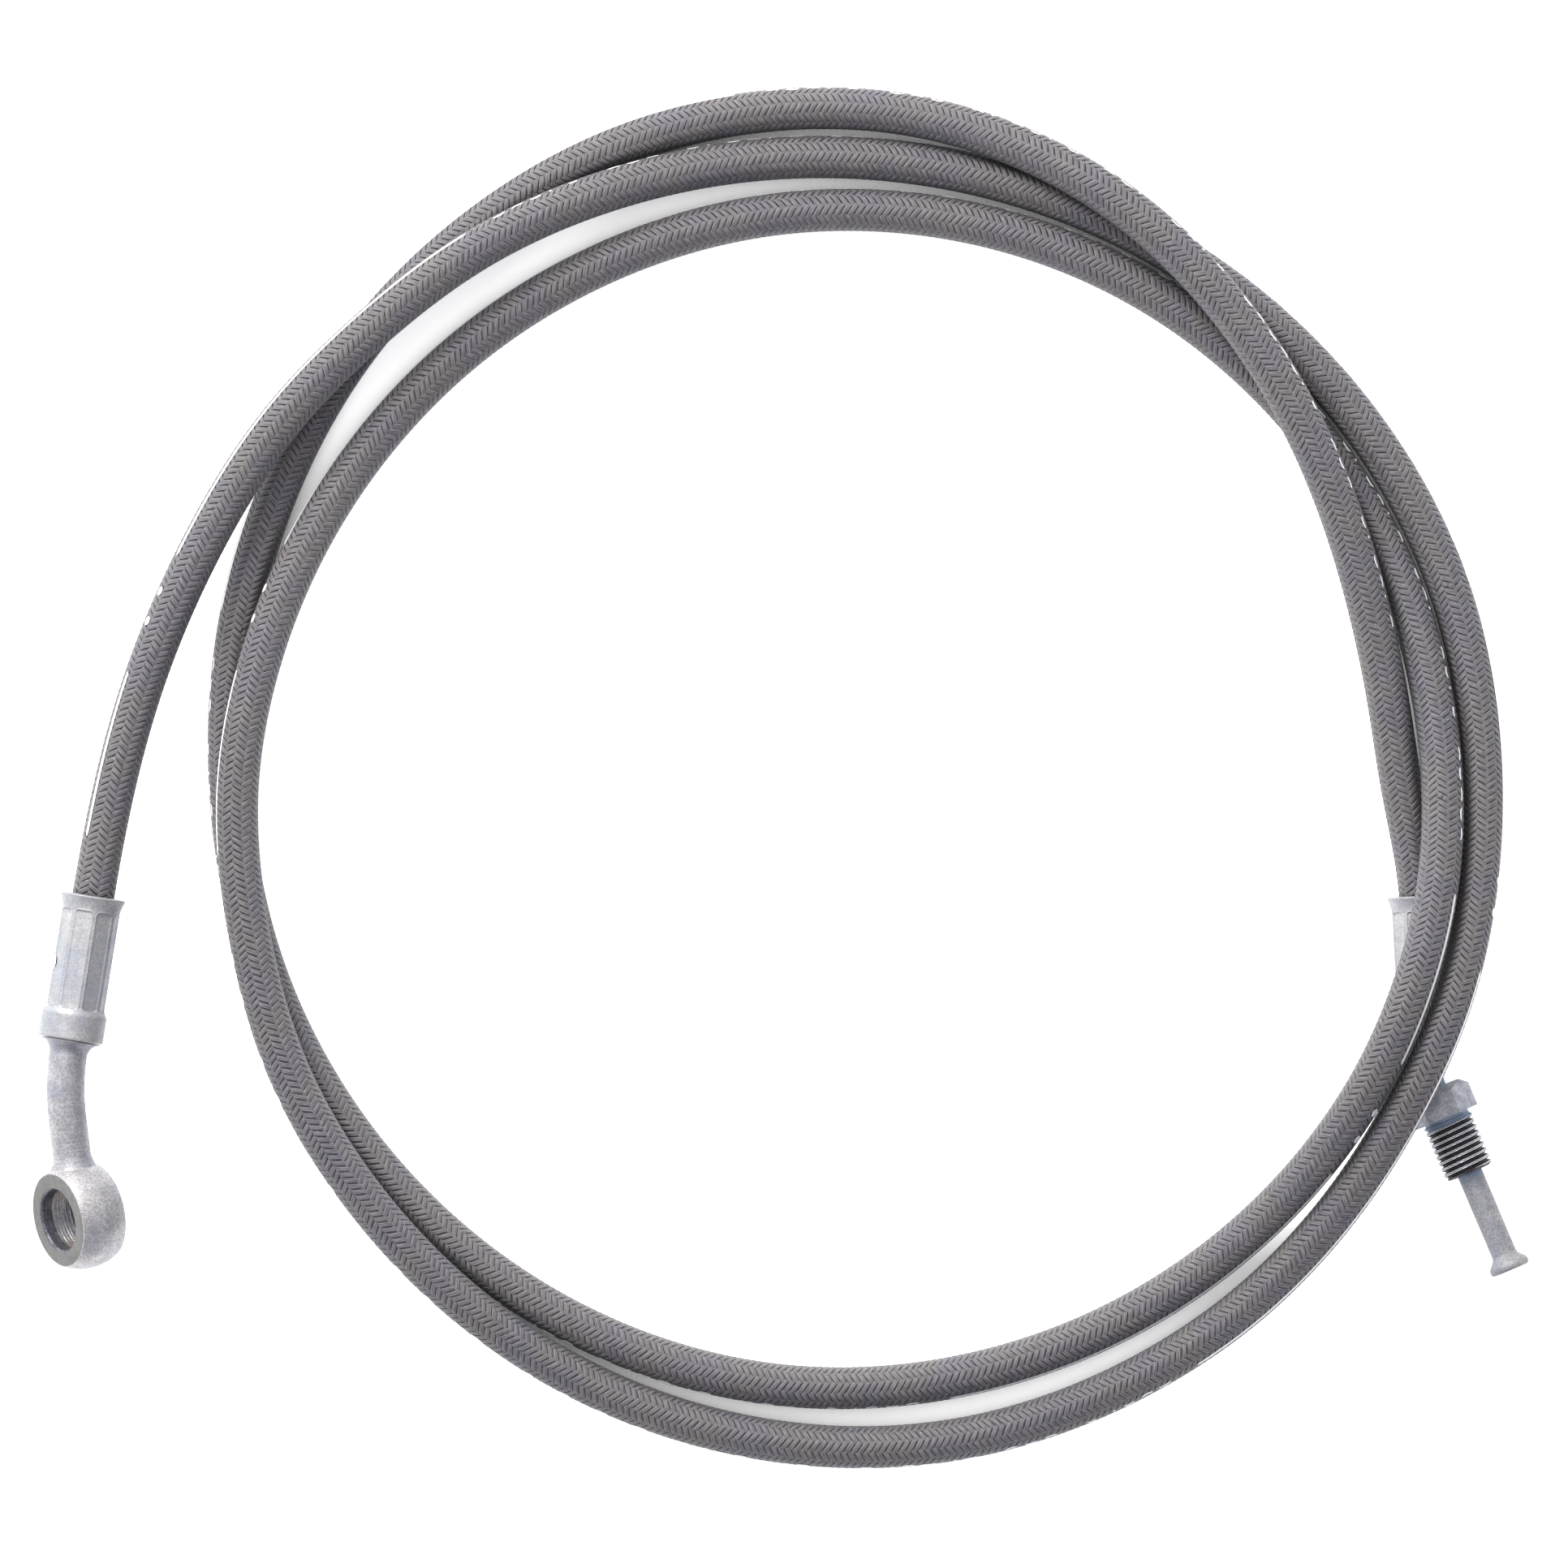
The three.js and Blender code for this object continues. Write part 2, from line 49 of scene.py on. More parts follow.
# Hose centreline: turn angle in degrees from +X, radius from the coil centre, and height where it
# doesn't lie on the floor.
COIL_ROUTE = [
    # First turn: off the banjo end, over the third turn, round the outside.
    (172, 0.1694, 0.0163), (160, 0.1636, 0.0161), (148, 0.1597, 0.0159), (137, 0.1560, 0.0155),
    (126, 0.1537, 0.0146), (115, 0.1512, 0.0116), (104, 0.1490, 0.0072), (91, 0.1470, 0.0052),
    (77, 0.1457), (62, 0.1453), (46, 0.1457), (31, 0.1467), (18, 0.1477, 0.0055), (8, 0.1480, 0.0072),
    (-1, 0.1484, 0.0099), (-8, 0.1490, 0.0130), (-15, 0.1498, 0.0170), (-22, 0.1505, 0.0206),
    (-29, 0.1510, 0.0204), (-36, 0.1521, 0.0164), (-44, 0.1537, 0.0108), (-53, 0.1554, 0.0065),
    (-64, 0.1568, 0.0051), (-80, 0.1583), (-97, 0.1580), (-114, 0.1564, 0.0058), (-128, 0.1544, 0.0098),
    (-141, 0.1524, 0.0134), (-153, 0.1506, 0.0148), (-166, 0.1477, 0.0154),
    # Second turn: down to the floor inside the first, then up over the tube end's ferrule.
    (-179, 0.1459, 0.0156), (-191, 0.1433, 0.0138), (-202, 0.1411, 0.0095), (-213, 0.1392, 0.0060),
    (-227, 0.1373), (-243, 0.1357), (-260, 0.1349), (-279, 0.1344), (-298, 0.1346), (-314, 0.1351),
    (-329, 0.1361, 0.0051), (-342, 0.1373, 0.0071), (-352, 0.1380, 0.0106), (-361, 0.1389, 0.0150),
    (-368, 0.1397, 0.0190), (-375, 0.1403, 0.0228), (-382, 0.1407, 0.0250), (-389, 0.1412, 0.0238),
    (-396, 0.1416, 0.0190), (-404, 0.1420, 0.0122), (-413, 0.1424, 0.0070), (-424, 0.1429, 0.0051),
    (-440, 0.1437), (-457, 0.1447), (-474, 0.1450), (-492, 0.1453), (-509, 0.1460), (-525, 0.1470),
    # Last half turn: under the first, outermost at the back, then over both to the tube end.
    (-540, 0.1480), (-555, 0.1504), (-569, 0.1532), (-583, 0.1562), (-597, 0.1584), (-610, 0.1598),
    (-622, 0.1594, 0.0051), (-634, 0.1577, 0.0062), (-645, 0.1542, 0.0106), (-655, 0.1496, 0.0146),
    (-664, 0.1446, 0.0160), (-674, 0.1389, 0.0162), (-683, 0.1343, 0.0157), (-692, 0.1306, 0.0142),
    (-702, 0.1280, 0.0121), (-712, 0.1275, 0.0103), (-721, 0.1295, 0.0087),
]

HOSE_DIAMETER = 0.010
HOSE_RADIUS = HOSE_DIAMETER / 2
CORE_STEP = 0.002
# Inside the cover: piece, outer and inner radius, sides, finish, slot and CAD node.
HOSE_LAYERS = [
    ("hose_rubber_core", (0.00442, 0.0032), 20, "rubber_black", "rubber", "hose_rubber_layer"),
    ("hose_cord_layer", (0.00295, 0.0026), 14, "inner_cord", "inner_braid", "hose_inner_braid"),
    ("hose_inner_liner", (0.00235, 0.0017), 12, "liner_black", "liner", "hose_liner"),
]

# Crimped ferrules. Lengths run from the mouth towards the fitting.
FERRULE_LENGTH = 0.0345
MOUTH_RADIUS = 0.0078
WAIST_RADIUS = 0.0068
BASE_RADIUS = 0.0077
FERRULE_BORE = 0.0053
SHOULDER_BORE = 0.0034
SHOULDER = 0.0024
MOUTH_FLARE = 0.0044
BASE_BAND = 0.0076
CRIMP_COUNT = 8
CRIMP_WIDTH = 0.0042
CRIMP_DEPTH = 0.00042
CRIMP_TURN = 12.4
CRIMP_CORNER = 0.0009
CRIMP_PAST_WAIST = (0.0006, 0.0003)
CRIMP_EASE = (-0.00018, 0.00006)
CRIMP_RIM = {"at": 0.00014, "width": 0.00012, "height": 0.00006}
MOUTH_LIP = 0.0003
MOUTH_WALL = 0.0009
BAND_RISE = 0.0014
BORE_LEAD = 0.0018
FERRULE_EASE = 0.00045
FERRULE_SIDES = 320
FERRULE_SPACING = 0.00016
OUTER_SKIN = 0.0002
WITNESS_HOLE = {"radius": 0.00165, "at": 0.0168, "depth": 0.0014, "edge": 0.00008}
BANJO_HOLE_TURN = 172
TUBE_HOLE_TURN = 60
HOSE_START = 0.0045
HOSE_MIDDLE = 0.020
HOSE_LEAD = 0.002
HOSE_TRIM = 0.006

BANJO_MOUTH = Vector((-0.1625, -0.0279, 0.0163))
BANJO_HEADING = -99.1
TUBE_MOUTH = Vector((0.1511, -0.0279, 0.0078))
TUBE_HEADING = -87

# Banjo fitting.
BALL_RADIUS = 0.01275
EYE_HALF = 0.006
EYE_BORE = 0.0073
EYE_CHAMFER = 0.0005
EYE_EDGE = 0.00015
FACE_LIP = 0.0003
OIL_GROOVE = {"radius": 0.0083, "half": 0.0021, "step": 0.0078, "slope": 0.0006, "ease": 0.0002}
EYE_AXIS = Vector((-0.829, -0.19, 0.526)).normalized()
STEM_RADIUS = 0.0045
STEM_PASSAGE = 0.0015
STEM_TURN = 15.9
STEM_APEX = 0.0107
STEM_STRAIGHT = 0.0312
STEM_BEND = (0.75, 0.26)
COLLAR = {"radius": 0.0071, "start": 0.00006, "length": 0.0004, "fillet": 0.0032}
TAIL_RADIUS = 0.00135
TAIL_PASSAGE = 0.0008
TAIL_NECK = (0.0031, 0.003)
TAIL_LENGTH = 0.027
BARB = {"pitch": 0.003, "height": 0.00025}
BALL_SWELL = {"start": 0.0113, "reach": 0.0036, "height": 0.0011}
STEM_STEP = 0.00018
STEM_END = 0.0096
TOOL_MARKS = {"at": 0.0175, "spread": 0.0042, "depth": 0.00003, "least": 0.000006}
PASSAGE = {"past": 0.001, "step": 0.0006}
FACING = {"core": 0.0001, "radius": 0.0122, "flare": 0.0012, "depth": 0.003, "ease": 0.0003}
PART_MARGIN = 0.0001

# Steel tube end.
TUBE_OUTER = 0.003
TUBE_INNER = 0.002
TUBE_START = 0.0013
BEND_START = 0.005
BEND_APEX = 0.0086
TUBE_LINE = (0.15449, -0.0737)
TUBE_LINE_HEADING = -67
FLARE_AT = 0.0465
FLARE = {"radius": 0.0048, "length": 0.0032, "rim": 0.0012, "lead": 0.0012, "power": 1.4}
# Blue tint in streaks on the tube beside the nut.
BLUE_BESIDE_NUT = {"colour": (0.21, 0.30, 0.44), "scale": 700, "reach": 25.5, "uneven": 4, "strength": 0.4}
TUBE_LIP = 0.0005
TUBE_MOUTH_LEAD = (0.0006, 0.0012)
TUBE_UNEVEN = 0.000015
INSERT_COLLAR = (0.0054, 0.0023)
BRAZE = {"radius": 0.0043, "foot": 0.0037, "length": 0.0011}

# Tube nut M12 x 1.5.
NUT_ACROSS = 0.014
HEX_LENGTH = 0.0073
NUT_CROWN = (0.0062, 0.0016)
NUT_TURN = 4.4
NUT_NECK = (0.0054, 0.00075)
THREAD = {
    "radius": 0.00598, "root": 0.00513, "pitch": 0.0015, "turns": 8.7, "fold": 0.2,
    "run_out": 0.0015, "run_in": 0.0008, "crest": 0.0003, "tip": 0.0009, "tip_length": 0.0007,
    "past": 0.0004, "rise": 1.5, "slope": 3.4, "fold_width": 0.055,
}
THREAD_SIDES = 128
THREAD_STEP = 0.00006
SHANK_OVERLAP = 0.001
NUT_BEVEL = 0.00014
NUT_BORE = 0.0033
GAP = 0.0003

# Cover braid: 24 carriers, 12 each way, each tow over two and under two.
TOW_COUNT = 12
BRAID_LEAD = 0.0197
STEPS_PER_LEAD = 48
TOW_WIDTH = 0.0014
TOW_LIFT = 0.0001
TOW_SECTION = [(-1, -0.00008), (-0.5, 0.00002), (0, 0.00001), (0.5, 0.00002), (1, -0.00008)]
TOW_BACK = -0.00022
BRAID_SECTIONS = 5
BAKE_MAP = "OFBake"
BAKE_ROWS = 7
BAKE_MARGIN = 0.04
BAKE_SHARES = [0, 0.22, 0.44, 0.66, 0.88, 0.94, 1.0]
TOW_MAP_SHIFT = 53.0


# --- camera

VIEW_CENTRE = Vector((0.00067, -0.00154, 0.0))
VIEW_WIDTH = 0.37154
CAMERA_HEIGHT = 6.0
SENSOR = 36.0


def make_camera():
    """Straight above the coil on a long lens."""
    data = bpy.data.cameras.new("camera")
    data.sensor_width = SENSOR
    data.lens = SENSOR * CAMERA_HEIGHT / VIEW_WIDTH
    data.clip_end = 100
    camera = bpy.data.objects.new("camera", data)
    camera.location = VIEW_CENTRE + Vector((0, 0, CAMERA_HEIGHT))
    bpy.context.scene.collection.objects.link(camera)
    bpy.context.scene.camera = camera


make_camera()

# --- mesh helpers


def heading(degrees):
    """Level direction, in degrees from +X."""
    return Vector((math.cos(math.radians(degrees)), math.sin(math.radians(degrees)), 0))


def placement(origin, axis):
    """Turned pieces lie along their own +Z. In the frame their +X is level and +Y uppermost."""
    side = Vector((0, 0, 1)).cross(axis).normalized()
    up = axis.cross(side)
    turn = Matrix((side, up, axis)).transposed().to_4x4()
    return Matrix.Translation(origin) @ turn


def placed(points, matrix):
    """Local points, as an array, moved into the frame."""
    m = np.array(matrix)
    return points @ m[:3, :3].T + m[:3, 3]


def ring_quads(rings, sides, loop):
    """Quads between neighbouring rings, and from the last to the first where they make a loop."""
    i = np.arange(rings if loop else rings - 1)[:, None]
    j = np.arange(sides)[None, :]
    here, after = i * sides, ((i + 1) % rings) * sides
    beside = (j + 1) % sides
    return np.stack([here + j, here + beside, after + beside, after + j], -1).reshape(-1, 4)


def make_mesh(name, points, quads, caps=()):
    """A mesh from quads and a few larger polygons, smooth shaded."""
    mesh = bpy.data.meshes.new(name)
    corners = np.concatenate([np.asarray(quads).ravel(), *[np.asarray(c) for c in caps]])
    totals = np.array([4] * len(quads) + [len(c) for c in caps])
    mesh.vertices.add(len(points))
    mesh.vertices.foreach_set("co", np.asarray(points, np.float32).ravel())
    mesh.loops.add(len(corners))
    mesh.loops.foreach_set("vertex_index", corners.astype(np.int32))
    mesh.polygons.add(len(totals))
    starts = np.concatenate([[0], np.cumsum(totals)[:-1]])
    mesh.polygons.foreach_set("loop_start", starts.astype(np.int32))
    mesh.polygons.foreach_set("use_smooth", np.ones(len(totals), bool))
    mesh.update(calc_edges=True)
    mesh.validate()
    return mesh


def make_object(mesh, *materials):
    """An object named as its mesh is."""
    piece = bpy.data.objects.new(mesh.name, mesh)
    bpy.context.scene.collection.objects.link(piece)
    for material in materials:
        mesh.materials.append(material)
    return piece


def rounded(outline, radius, steps=4):
    """A closed outline with each corner eased over about the given radius."""
    points = [np.array(p, float) for p in outline]
    result = []
    for before, corner, after in zip(points[-1:] + points[:-1], points, points[1:] + points[:1]):
        a, b = before - corner, after - corner
        reach = min(radius, 0.45 * np.linalg.norm(a), 0.45 * np.linalg.norm(b))
        start = corner + a / np.linalg.norm(a) * reach
        end = corner + b / np.linalg.norm(b) * reach
        for t in np.linspace(0, 1, steps):
            result.append((1 - t) ** 2 * start + 2 * t * (1 - t) * corner + t * t * end)
    return np.array(result)


def refined(outline, spacing):
    """A closed outline with points added so that none are further apart than the spacing."""
    result = []
    for here, after in zip(outline, np.roll(outline, -1, axis=0)):
        count = max(1, math.ceil(np.linalg.norm(after - here) / spacing))
        result += [here + (after - here) * k / count for k in range(count)]
    return np.array(result)


def circle(sides):
    """Angles at even steps, once round."""
    return np.linspace(0, 2 * np.pi, sides, endpoint=False)


def turned(outline, sides):
    """Points of a turned piece, ring by ring, from a closed outline of radius and height."""
    angle = circle(sides)
    r, z = outline[:, :1], outline[:, 1:]
    x, y = r * np.cos(angle), r * np.sin(angle)
    return np.stack([x, y, np.broadcast_to(z, x.shape)], -1).reshape(-1, 3)


def turned_mesh(name, outline, sides, matrix):
    points = placed(turned(np.asarray(outline, float), sides), matrix)
    return make_mesh(name, points, ring_quads(len(outline), sides, True))


def strand_mesh(name, strands):
    """One mesh of separate closed strands, each given as its rings of points."""
    quads, caps, base = [], [], 0
    for strand in strands:
        rings, sides = strand.shape[:2]
        quads.append(ring_quads(rings, sides, False) + base)
        ring = np.arange(sides) + base
        caps += [ring[::-1], ring + (rings - 1) * sides]
        base += rings * sides
    points = np.concatenate([strand.reshape(-1, 3) for strand in strands])
    return make_mesh(name, points, np.concatenate(quads), caps)


def around(line, sides):
    """A line's points, and the directions out from each, ring by ring."""
    centre, side, up, _ = line_frames(line)
    angle = circle(sides)[None, :, None]
    return centre[:, None], np.cos(angle) * side[:, None] + np.sin(angle) * up[:, None]


def swept_mesh(name, line, radii, sides):
    """A solid of round section along a line, with its own radius at each point."""
    centre, out = around(line, sides)
    return strand_mesh(name, [centre + np.asarray(radii)[:, None, None] * out])


def hollow_mesh(name, line, outer, inner, sides):
    """A tube along a line: out along its outside and back along its bore."""
    centre, out = around(line, sides)
    outer, inner = (np.broadcast_to(radius, len(line))[:, None, None] for radius in (outer, inner))
    points = np.concatenate([centre + outer * out, (centre + inner * out)[::-1]])
    return make_mesh(name, points.reshape(-1, 3), ring_quads(2 * len(line), sides, True))


def shade_sharp(mesh, degrees):
    """Edges sharper than the angle stay crisp."""
    mesh.set_sharp_from_angle(angle=math.radians(degrees))


def face_places(mesh, origin, axis):
    """Each face centre's offset from an origin, and its height there along an axis."""
    centres = np.zeros(len(mesh.polygons) * 3, np.float32)
    mesh.polygons.foreach_get("center", centres)
    offset = centres.reshape(-1, 3) - np.array(origin)
    return offset, offset @ np.array(axis)


def show_parts(mesh, parts, degrees):
    """Gives each face the material of its part, and smooth shading up to an angle."""
    mesh.polygons.foreach_set("material_index", parts)
    mesh.polygons.foreach_set("use_smooth", np.ones(len(mesh.polygons), bool))
    shade_sharp(mesh, degrees)


def boolean(target, cutter, operation):
    """Joins or cuts the target by the other mesh's solid, which is then gone."""
    other = bpy.data.objects.new("cutter", cutter)
    bpy.context.scene.collection.objects.link(other)
    modifier = target.modifiers.new("boolean", "BOOLEAN")
    modifier.operation = operation
    modifier.solver = "EXACT"
    modifier.object = other
    bake_modifiers(target)
    bpy.data.objects.remove(other)


def bake_modifiers(piece):
    """The piece's mesh becomes what its modifiers make of it."""
    graph = bpy.context.evaluated_depsgraph_get()
    mesh = bpy.data.meshes.new_from_object(piece.evaluated_get(graph))
    piece.modifiers.clear()
    piece.data = mesh


def finish_piece(piece, body, slot, *nodes):
    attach(piece, body)
    if nodes:
        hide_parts(*nodes)
    return piece


def hose_piece(mesh, material, degrees, slot, *nodes):
    """A finished piece of one material on the hose's body, crisp at edges past the angle."""
    shade_sharp(mesh, degrees)
    return finish_piece(make_object(mesh, material), "hose", slot, *nodes)


# --- lines in space


SPLINE_FINENESS = 20
BEND_POINTS = 60


def steps_along(line):
    """Length along a line at each of its points."""
    return np.concatenate([[0], np.cumsum(np.linalg.norm(np.diff(line, axis=0), axis=1))])


def spline(points, step):
    """The natural cubic spline through the points, at even steps along its length."""
    points = np.asarray(points, float)
    chord = np.linalg.norm(np.diff(points, axis=0), axis=1)
    at = steps_along(points)
    count = len(points)
    system, right = np.eye(count), np.zeros((count, 3))
    slope = np.diff(points, axis=0) / chord[:, None]
    for i in range(1, count - 1):
        system[i, i - 1 : i + 2] = chord[i - 1], 2 * (chord[i - 1] + chord[i]), chord[i]
        right[i] = 6 * (slope[i] - slope[i - 1])
    bend = np.linalg.solve(system, right)
    t = np.linspace(0, at[-1], SPLINE_FINENESS * count)
    i = np.clip(np.searchsorted(at, t, side="right") - 1, 0, count - 2)
    h = chord[i][:, None]
    a, b = (at[i + 1] - t)[:, None], (t - at[i])[:, None]
    curve = (bend[i] * a**3 + bend[i + 1] * b**3) / (6 * h)
    before = (points[i] / h - bend[i] * h / 6) * a
    after = (points[i + 1] / h - bend[i + 1] * h / 6) * b
    return evenly(curve + before + after, step)


def evenly(line, step):
    """The line again, with points about a step apart along it."""
    along = steps_along(line)
    target = np.linspace(0, along[-1], max(2, round(along[-1] / step)) + 1)
    return np.stack([np.interp(target, along, line[:, k]) for k in range(3)], -1)


def line_frames(line):
    """Points, outward level side, upper side and tangent at each point of a nearly level line."""
    tangent = np.gradient(line, axis=0)
    tangent /= np.linalg.norm(tangent, axis=1)[:, None]
    side = np.cross([0.0, 0.0, 1.0], tangent)
    side /= np.linalg.norm(side, axis=1)[:, None]
    return line, side, np.cross(tangent, side), tangent


def bend_line(start, bend_in, apex, bend_out, end, step):
    """Straight, then one smooth bend, then straight."""
    t = np.linspace(0, 1, BEND_POINTS)[:, None]
    a, b, c = np.array(bend_in), np.array(apex), np.array(bend_out)
    curve = (1 - t) ** 2 * a + 2 * t * (1 - t) * b + t * t * c
    return evenly(np.concatenate([[np.array(start)], curve, [np.array(end)]]), step)


# --- material helpers


class Nodes:
    """A material's or a world's node tree, with short calls for the nodes in use here."""

    def __init__(self, owner):
        self.owner = owner
        owner.use_nodes = True
        self.tree = owner.node_tree

    def feed(self, socket, value):
        """Links a node's output to the socket, or sets it to a number, a vector or a colour."""
        if isinstance(value, bpy.types.NodeSocket):
            self.tree.links.new(value, socket)
        elif isinstance(value, tuple) and len(socket.default_value) == 4:
            socket.default_value = (*value, 1)
        else:
            socket.default_value = value

    def add(self, kind, *inputs, **settings):
        """A new node, with its settings, and with inputs fed by name or number and value."""
        node = self.tree.nodes.new("ShaderNode" + kind)
        for key, value in settings.items():
            setattr(node, key, value)
        for key, value in inputs:
            self.feed(node.inputs[key], value)
        return node

    def position(self):
        return self.add("TexCoord").outputs["Object"]

    def maths(self, operation, *values):
        return self.add("Math", *enumerate(values), operation=operation).outputs[0]

    def vector_maths(self, operation, *values):
        return self.add("VectorMath", *enumerate(values), operation=operation).outputs

    def scaled(self, vector, scale):
        return self.vector_maths("MULTIPLY", vector, scale)["Vector"]

    def along(self, origin, axis):
        """Distance from a point along an axis, in metres."""
        offset = self.vector_maths("SUBTRACT", self.position(), origin)["Vector"]
        return self.vector_maths("DOT_PRODUCT", offset, axis)["Value"]

    def noise(self, vector, scale, detail=3.0, roughness=0.55):
        inputs = {"Vector": vector, "Scale": scale, "Detail": detail, "Roughness": roughness}
        return self.add("TexNoise", *inputs.items()).outputs["Fac"]

    def ramp(self, value, stops):
        """A ramp through stops, each a place and a grey level or a colour."""
        node = self.add("ValToRGB", ("Fac", value))
        elements = node.color_ramp.elements
        while len(elements) < len(stops):
            elements.new(0.5)
        for element, (place, colour) in zip(elements, stops):
            element.position = place
            element.color = (*colour, 1) if isinstance(colour, tuple) else (colour,) * 3 + (1,)
        return node.outputs["Color"]

    def mix(self, amount, first, second, blend="MIX"):
        inputs = (0, amount), (6, first), (7, second)
        return self.add("Mix", *inputs, data_type="RGBA", blend_type=blend).outputs[2]

    def bump(self, height, distance, strength=1.0, *normal):
        inputs = ("Height", height), ("Distance", distance), ("Strength", strength)
        below = [("Normal", value) for value in normal]
        return self.add("Bump", *inputs, *below).outputs["Normal"]

    def openness(self, reach):
        """How open the surroundings are within a short reach: 1 in the open, 0 in a crevice."""
        return self.add("AmbientOcclusion", ("Distance", reach), samples=6).outputs["AO"]

    def finish(self, **inputs):
        """Feeds the shader's inputs, by their names in lower case."""
        sockets = self.tree.nodes["Principled BSDF"].inputs
        for name, value in inputs.items():
            self.feed(sockets[name.replace("_", " ").title()], value)
        return self.owner


def new_material(name):
    return Nodes(bpy.data.materials.new(name))


# --- finishes

# Ramps are lists of stops, each a place on the ramp and a level or a colour there.
YARN_DARK = (0.036, 0.033, 0.039)
YARN_TONES = [(0.28, YARN_DARK), (0.46, (0.104, 0.097, 0.103)), (0.68, (0.282, 0.262, 0.254))]
# Painted shade along each tow's edges, where it dips beside its neighbours.
YARN_EDGE_SHADE = [(0.72, 0.0), (0.98, 0.5)]
YARN_ROUGHNESS = [(0.3, 0.50), (0.7, 0.66)]
YARN_TINT = (0.84, 0.87, 1.14)
TINT_PATCHES = {"scale": 90.0, "stops": [(0.42, 0.0), (0.62, 0.45)]}
# Painted glints: white specks at random over the yarns.
SPECK_GLINTS = {"colour": (0.65, 0.65, 0.66), "scale": 1500.0, "stops": [(0.785, 0.0), (0.80, 0.6)]}
# Painted shade in the crevices between strands: how far the yarn colour darkens where its surroundings are
# close.
CREVICE_SHADE = {"reach": 0.005, "stops": [(0.20, 0.15), (0.74, 1.0)]}


def yarn_finish():
    """Grey polyester tows: four yarns side by side in each, uneven tone, and white specks of painted glint.
    """
    n = new_material("yarn_grey")
    place = n.position()
    tow = n.add("UVMap", uv_map="tow").outputs["UV"]
    across = n.add("SeparateXYZ", (0, tow)).outputs["Y"]
    wander = n.noise(n.scaled(tow, (0.5, 0.0, 1.0)), 1.0, 1.0)
    across = n.maths("ADD", across, n.maths("MULTIPLY", wander, 0.5))
    yarns = n.maths("ABSOLUTE", n.maths("SINE", n.maths("MULTIPLY", across, math.pi)))
    fibre = n.noise(n.scaled(tow, (1.1, 7.0, 1.0)), 1.0, 3.0, 0.6)
    tone = n.noise(n.scaled(tow, (0.35, 0.9, 1.0)), 1.0, 2.0, 0.5)
    relief = n.maths("MULTIPLY", yarns, n.maths("ADD", fibre, 0.35))
    uneven = n.maths("ADD", n.maths("MULTIPLY", tone, 0.45), n.maths("MULTIPLY", fibre, 0.2))
    # Partly painted shade: the colour follows the yarns' relief, lighter on their crowns and darker between
    # them, with fibre and tone that vary at random.
    colour = n.ramp(n.maths("ADD", n.maths("MULTIPLY", relief, 0.3), uneven), YARN_TONES)
    # Painted shade: the colour darkens towards each tow's edges and on its back.
    edge = n.maths("ABSOLUTE", n.maths("SUBTRACT", n.maths("MULTIPLY", across, 0.5), 1.0))
    colour = n.mix(n.ramp(edge, YARN_EDGE_SHADE), colour, YARN_DARK)
    tinted = n.mix(1.0, colour, YARN_TINT, "MULTIPLY")
    patches = n.ramp(n.noise(place, TINT_PATCHES["scale"], 2.0), TINT_PATCHES["stops"])
    # Painted glints in white specks.
    specks = n.ramp(n.noise(place, SPECK_GLINTS["scale"], 1.0), SPECK_GLINTS["stops"])
    colour = n.mix(specks, n.mix(patches, colour, tinted), SPECK_GLINTS["colour"])
    # Painted shade: the colour darkens in crevices, by how open the surroundings are.
    colour = n.mix(1.0, colour, n.ramp(n.openness(CREVICE_SHADE["reach"]), CREVICE_SHADE["stops"]), "MULTIPLY")
    return n.finish(
        base_color=colour, roughness=n.ramp(tone, YARN_ROUGHNESS), sheen_weight=0.1,
        sheen_roughness=0.5, normal=n.bump(relief, 0.00004, 0.8),
    )


# Matt finishes: scale and detail of the grain, roughness, depth and strength of the relief, tones.
RUBBER_GRAIN = (900, 3, 0.75, 0.00005, 0.5)
MATT = {
    "rubber_black": (*RUBBER_GRAIN, [(0.35, (0.010, 0.010, 0.011)), (0.65, (0.03, 0.03, 0.032))]),
    "liner_black": (*RUBBER_GRAIN, [(0.35, (0.006, 0.006, 0.007)), (0.65, 0.02)]),
    # Painted shade: the inside of the witness hole, near black.
    "hole_painted_shade": (*RUBBER_GRAIN, [(0.35, 0.004), (0.65, 0.012)]),
    "inner_cord": (1500, 2, 0.8, 0.0001, 0.7, [(0.3, (0.42, 0.38, 0.28)), (0.7, (0.66, 0.61, 0.50))]),
    "marking_white": (1800, 3, 0.5, 0.00003, 0.4, [(0.3, (0.62, 0.62, 0.64)), (0.42, (0.88, 0.88, 0.89))]),
}


def matt(name):
    """A fine uneven surface that is darker in its hollows."""
    scale, detail, roughness, relief, strength, tones = MATT[name]
    n = new_material(name)
    grain = n.noise(n.position(), scale, detail)
    colour, normal = n.ramp(grain, tones), n.bump(grain, relief, strength)
    return n.finish(base_color=colour, roughness=roughness, normal=normal)


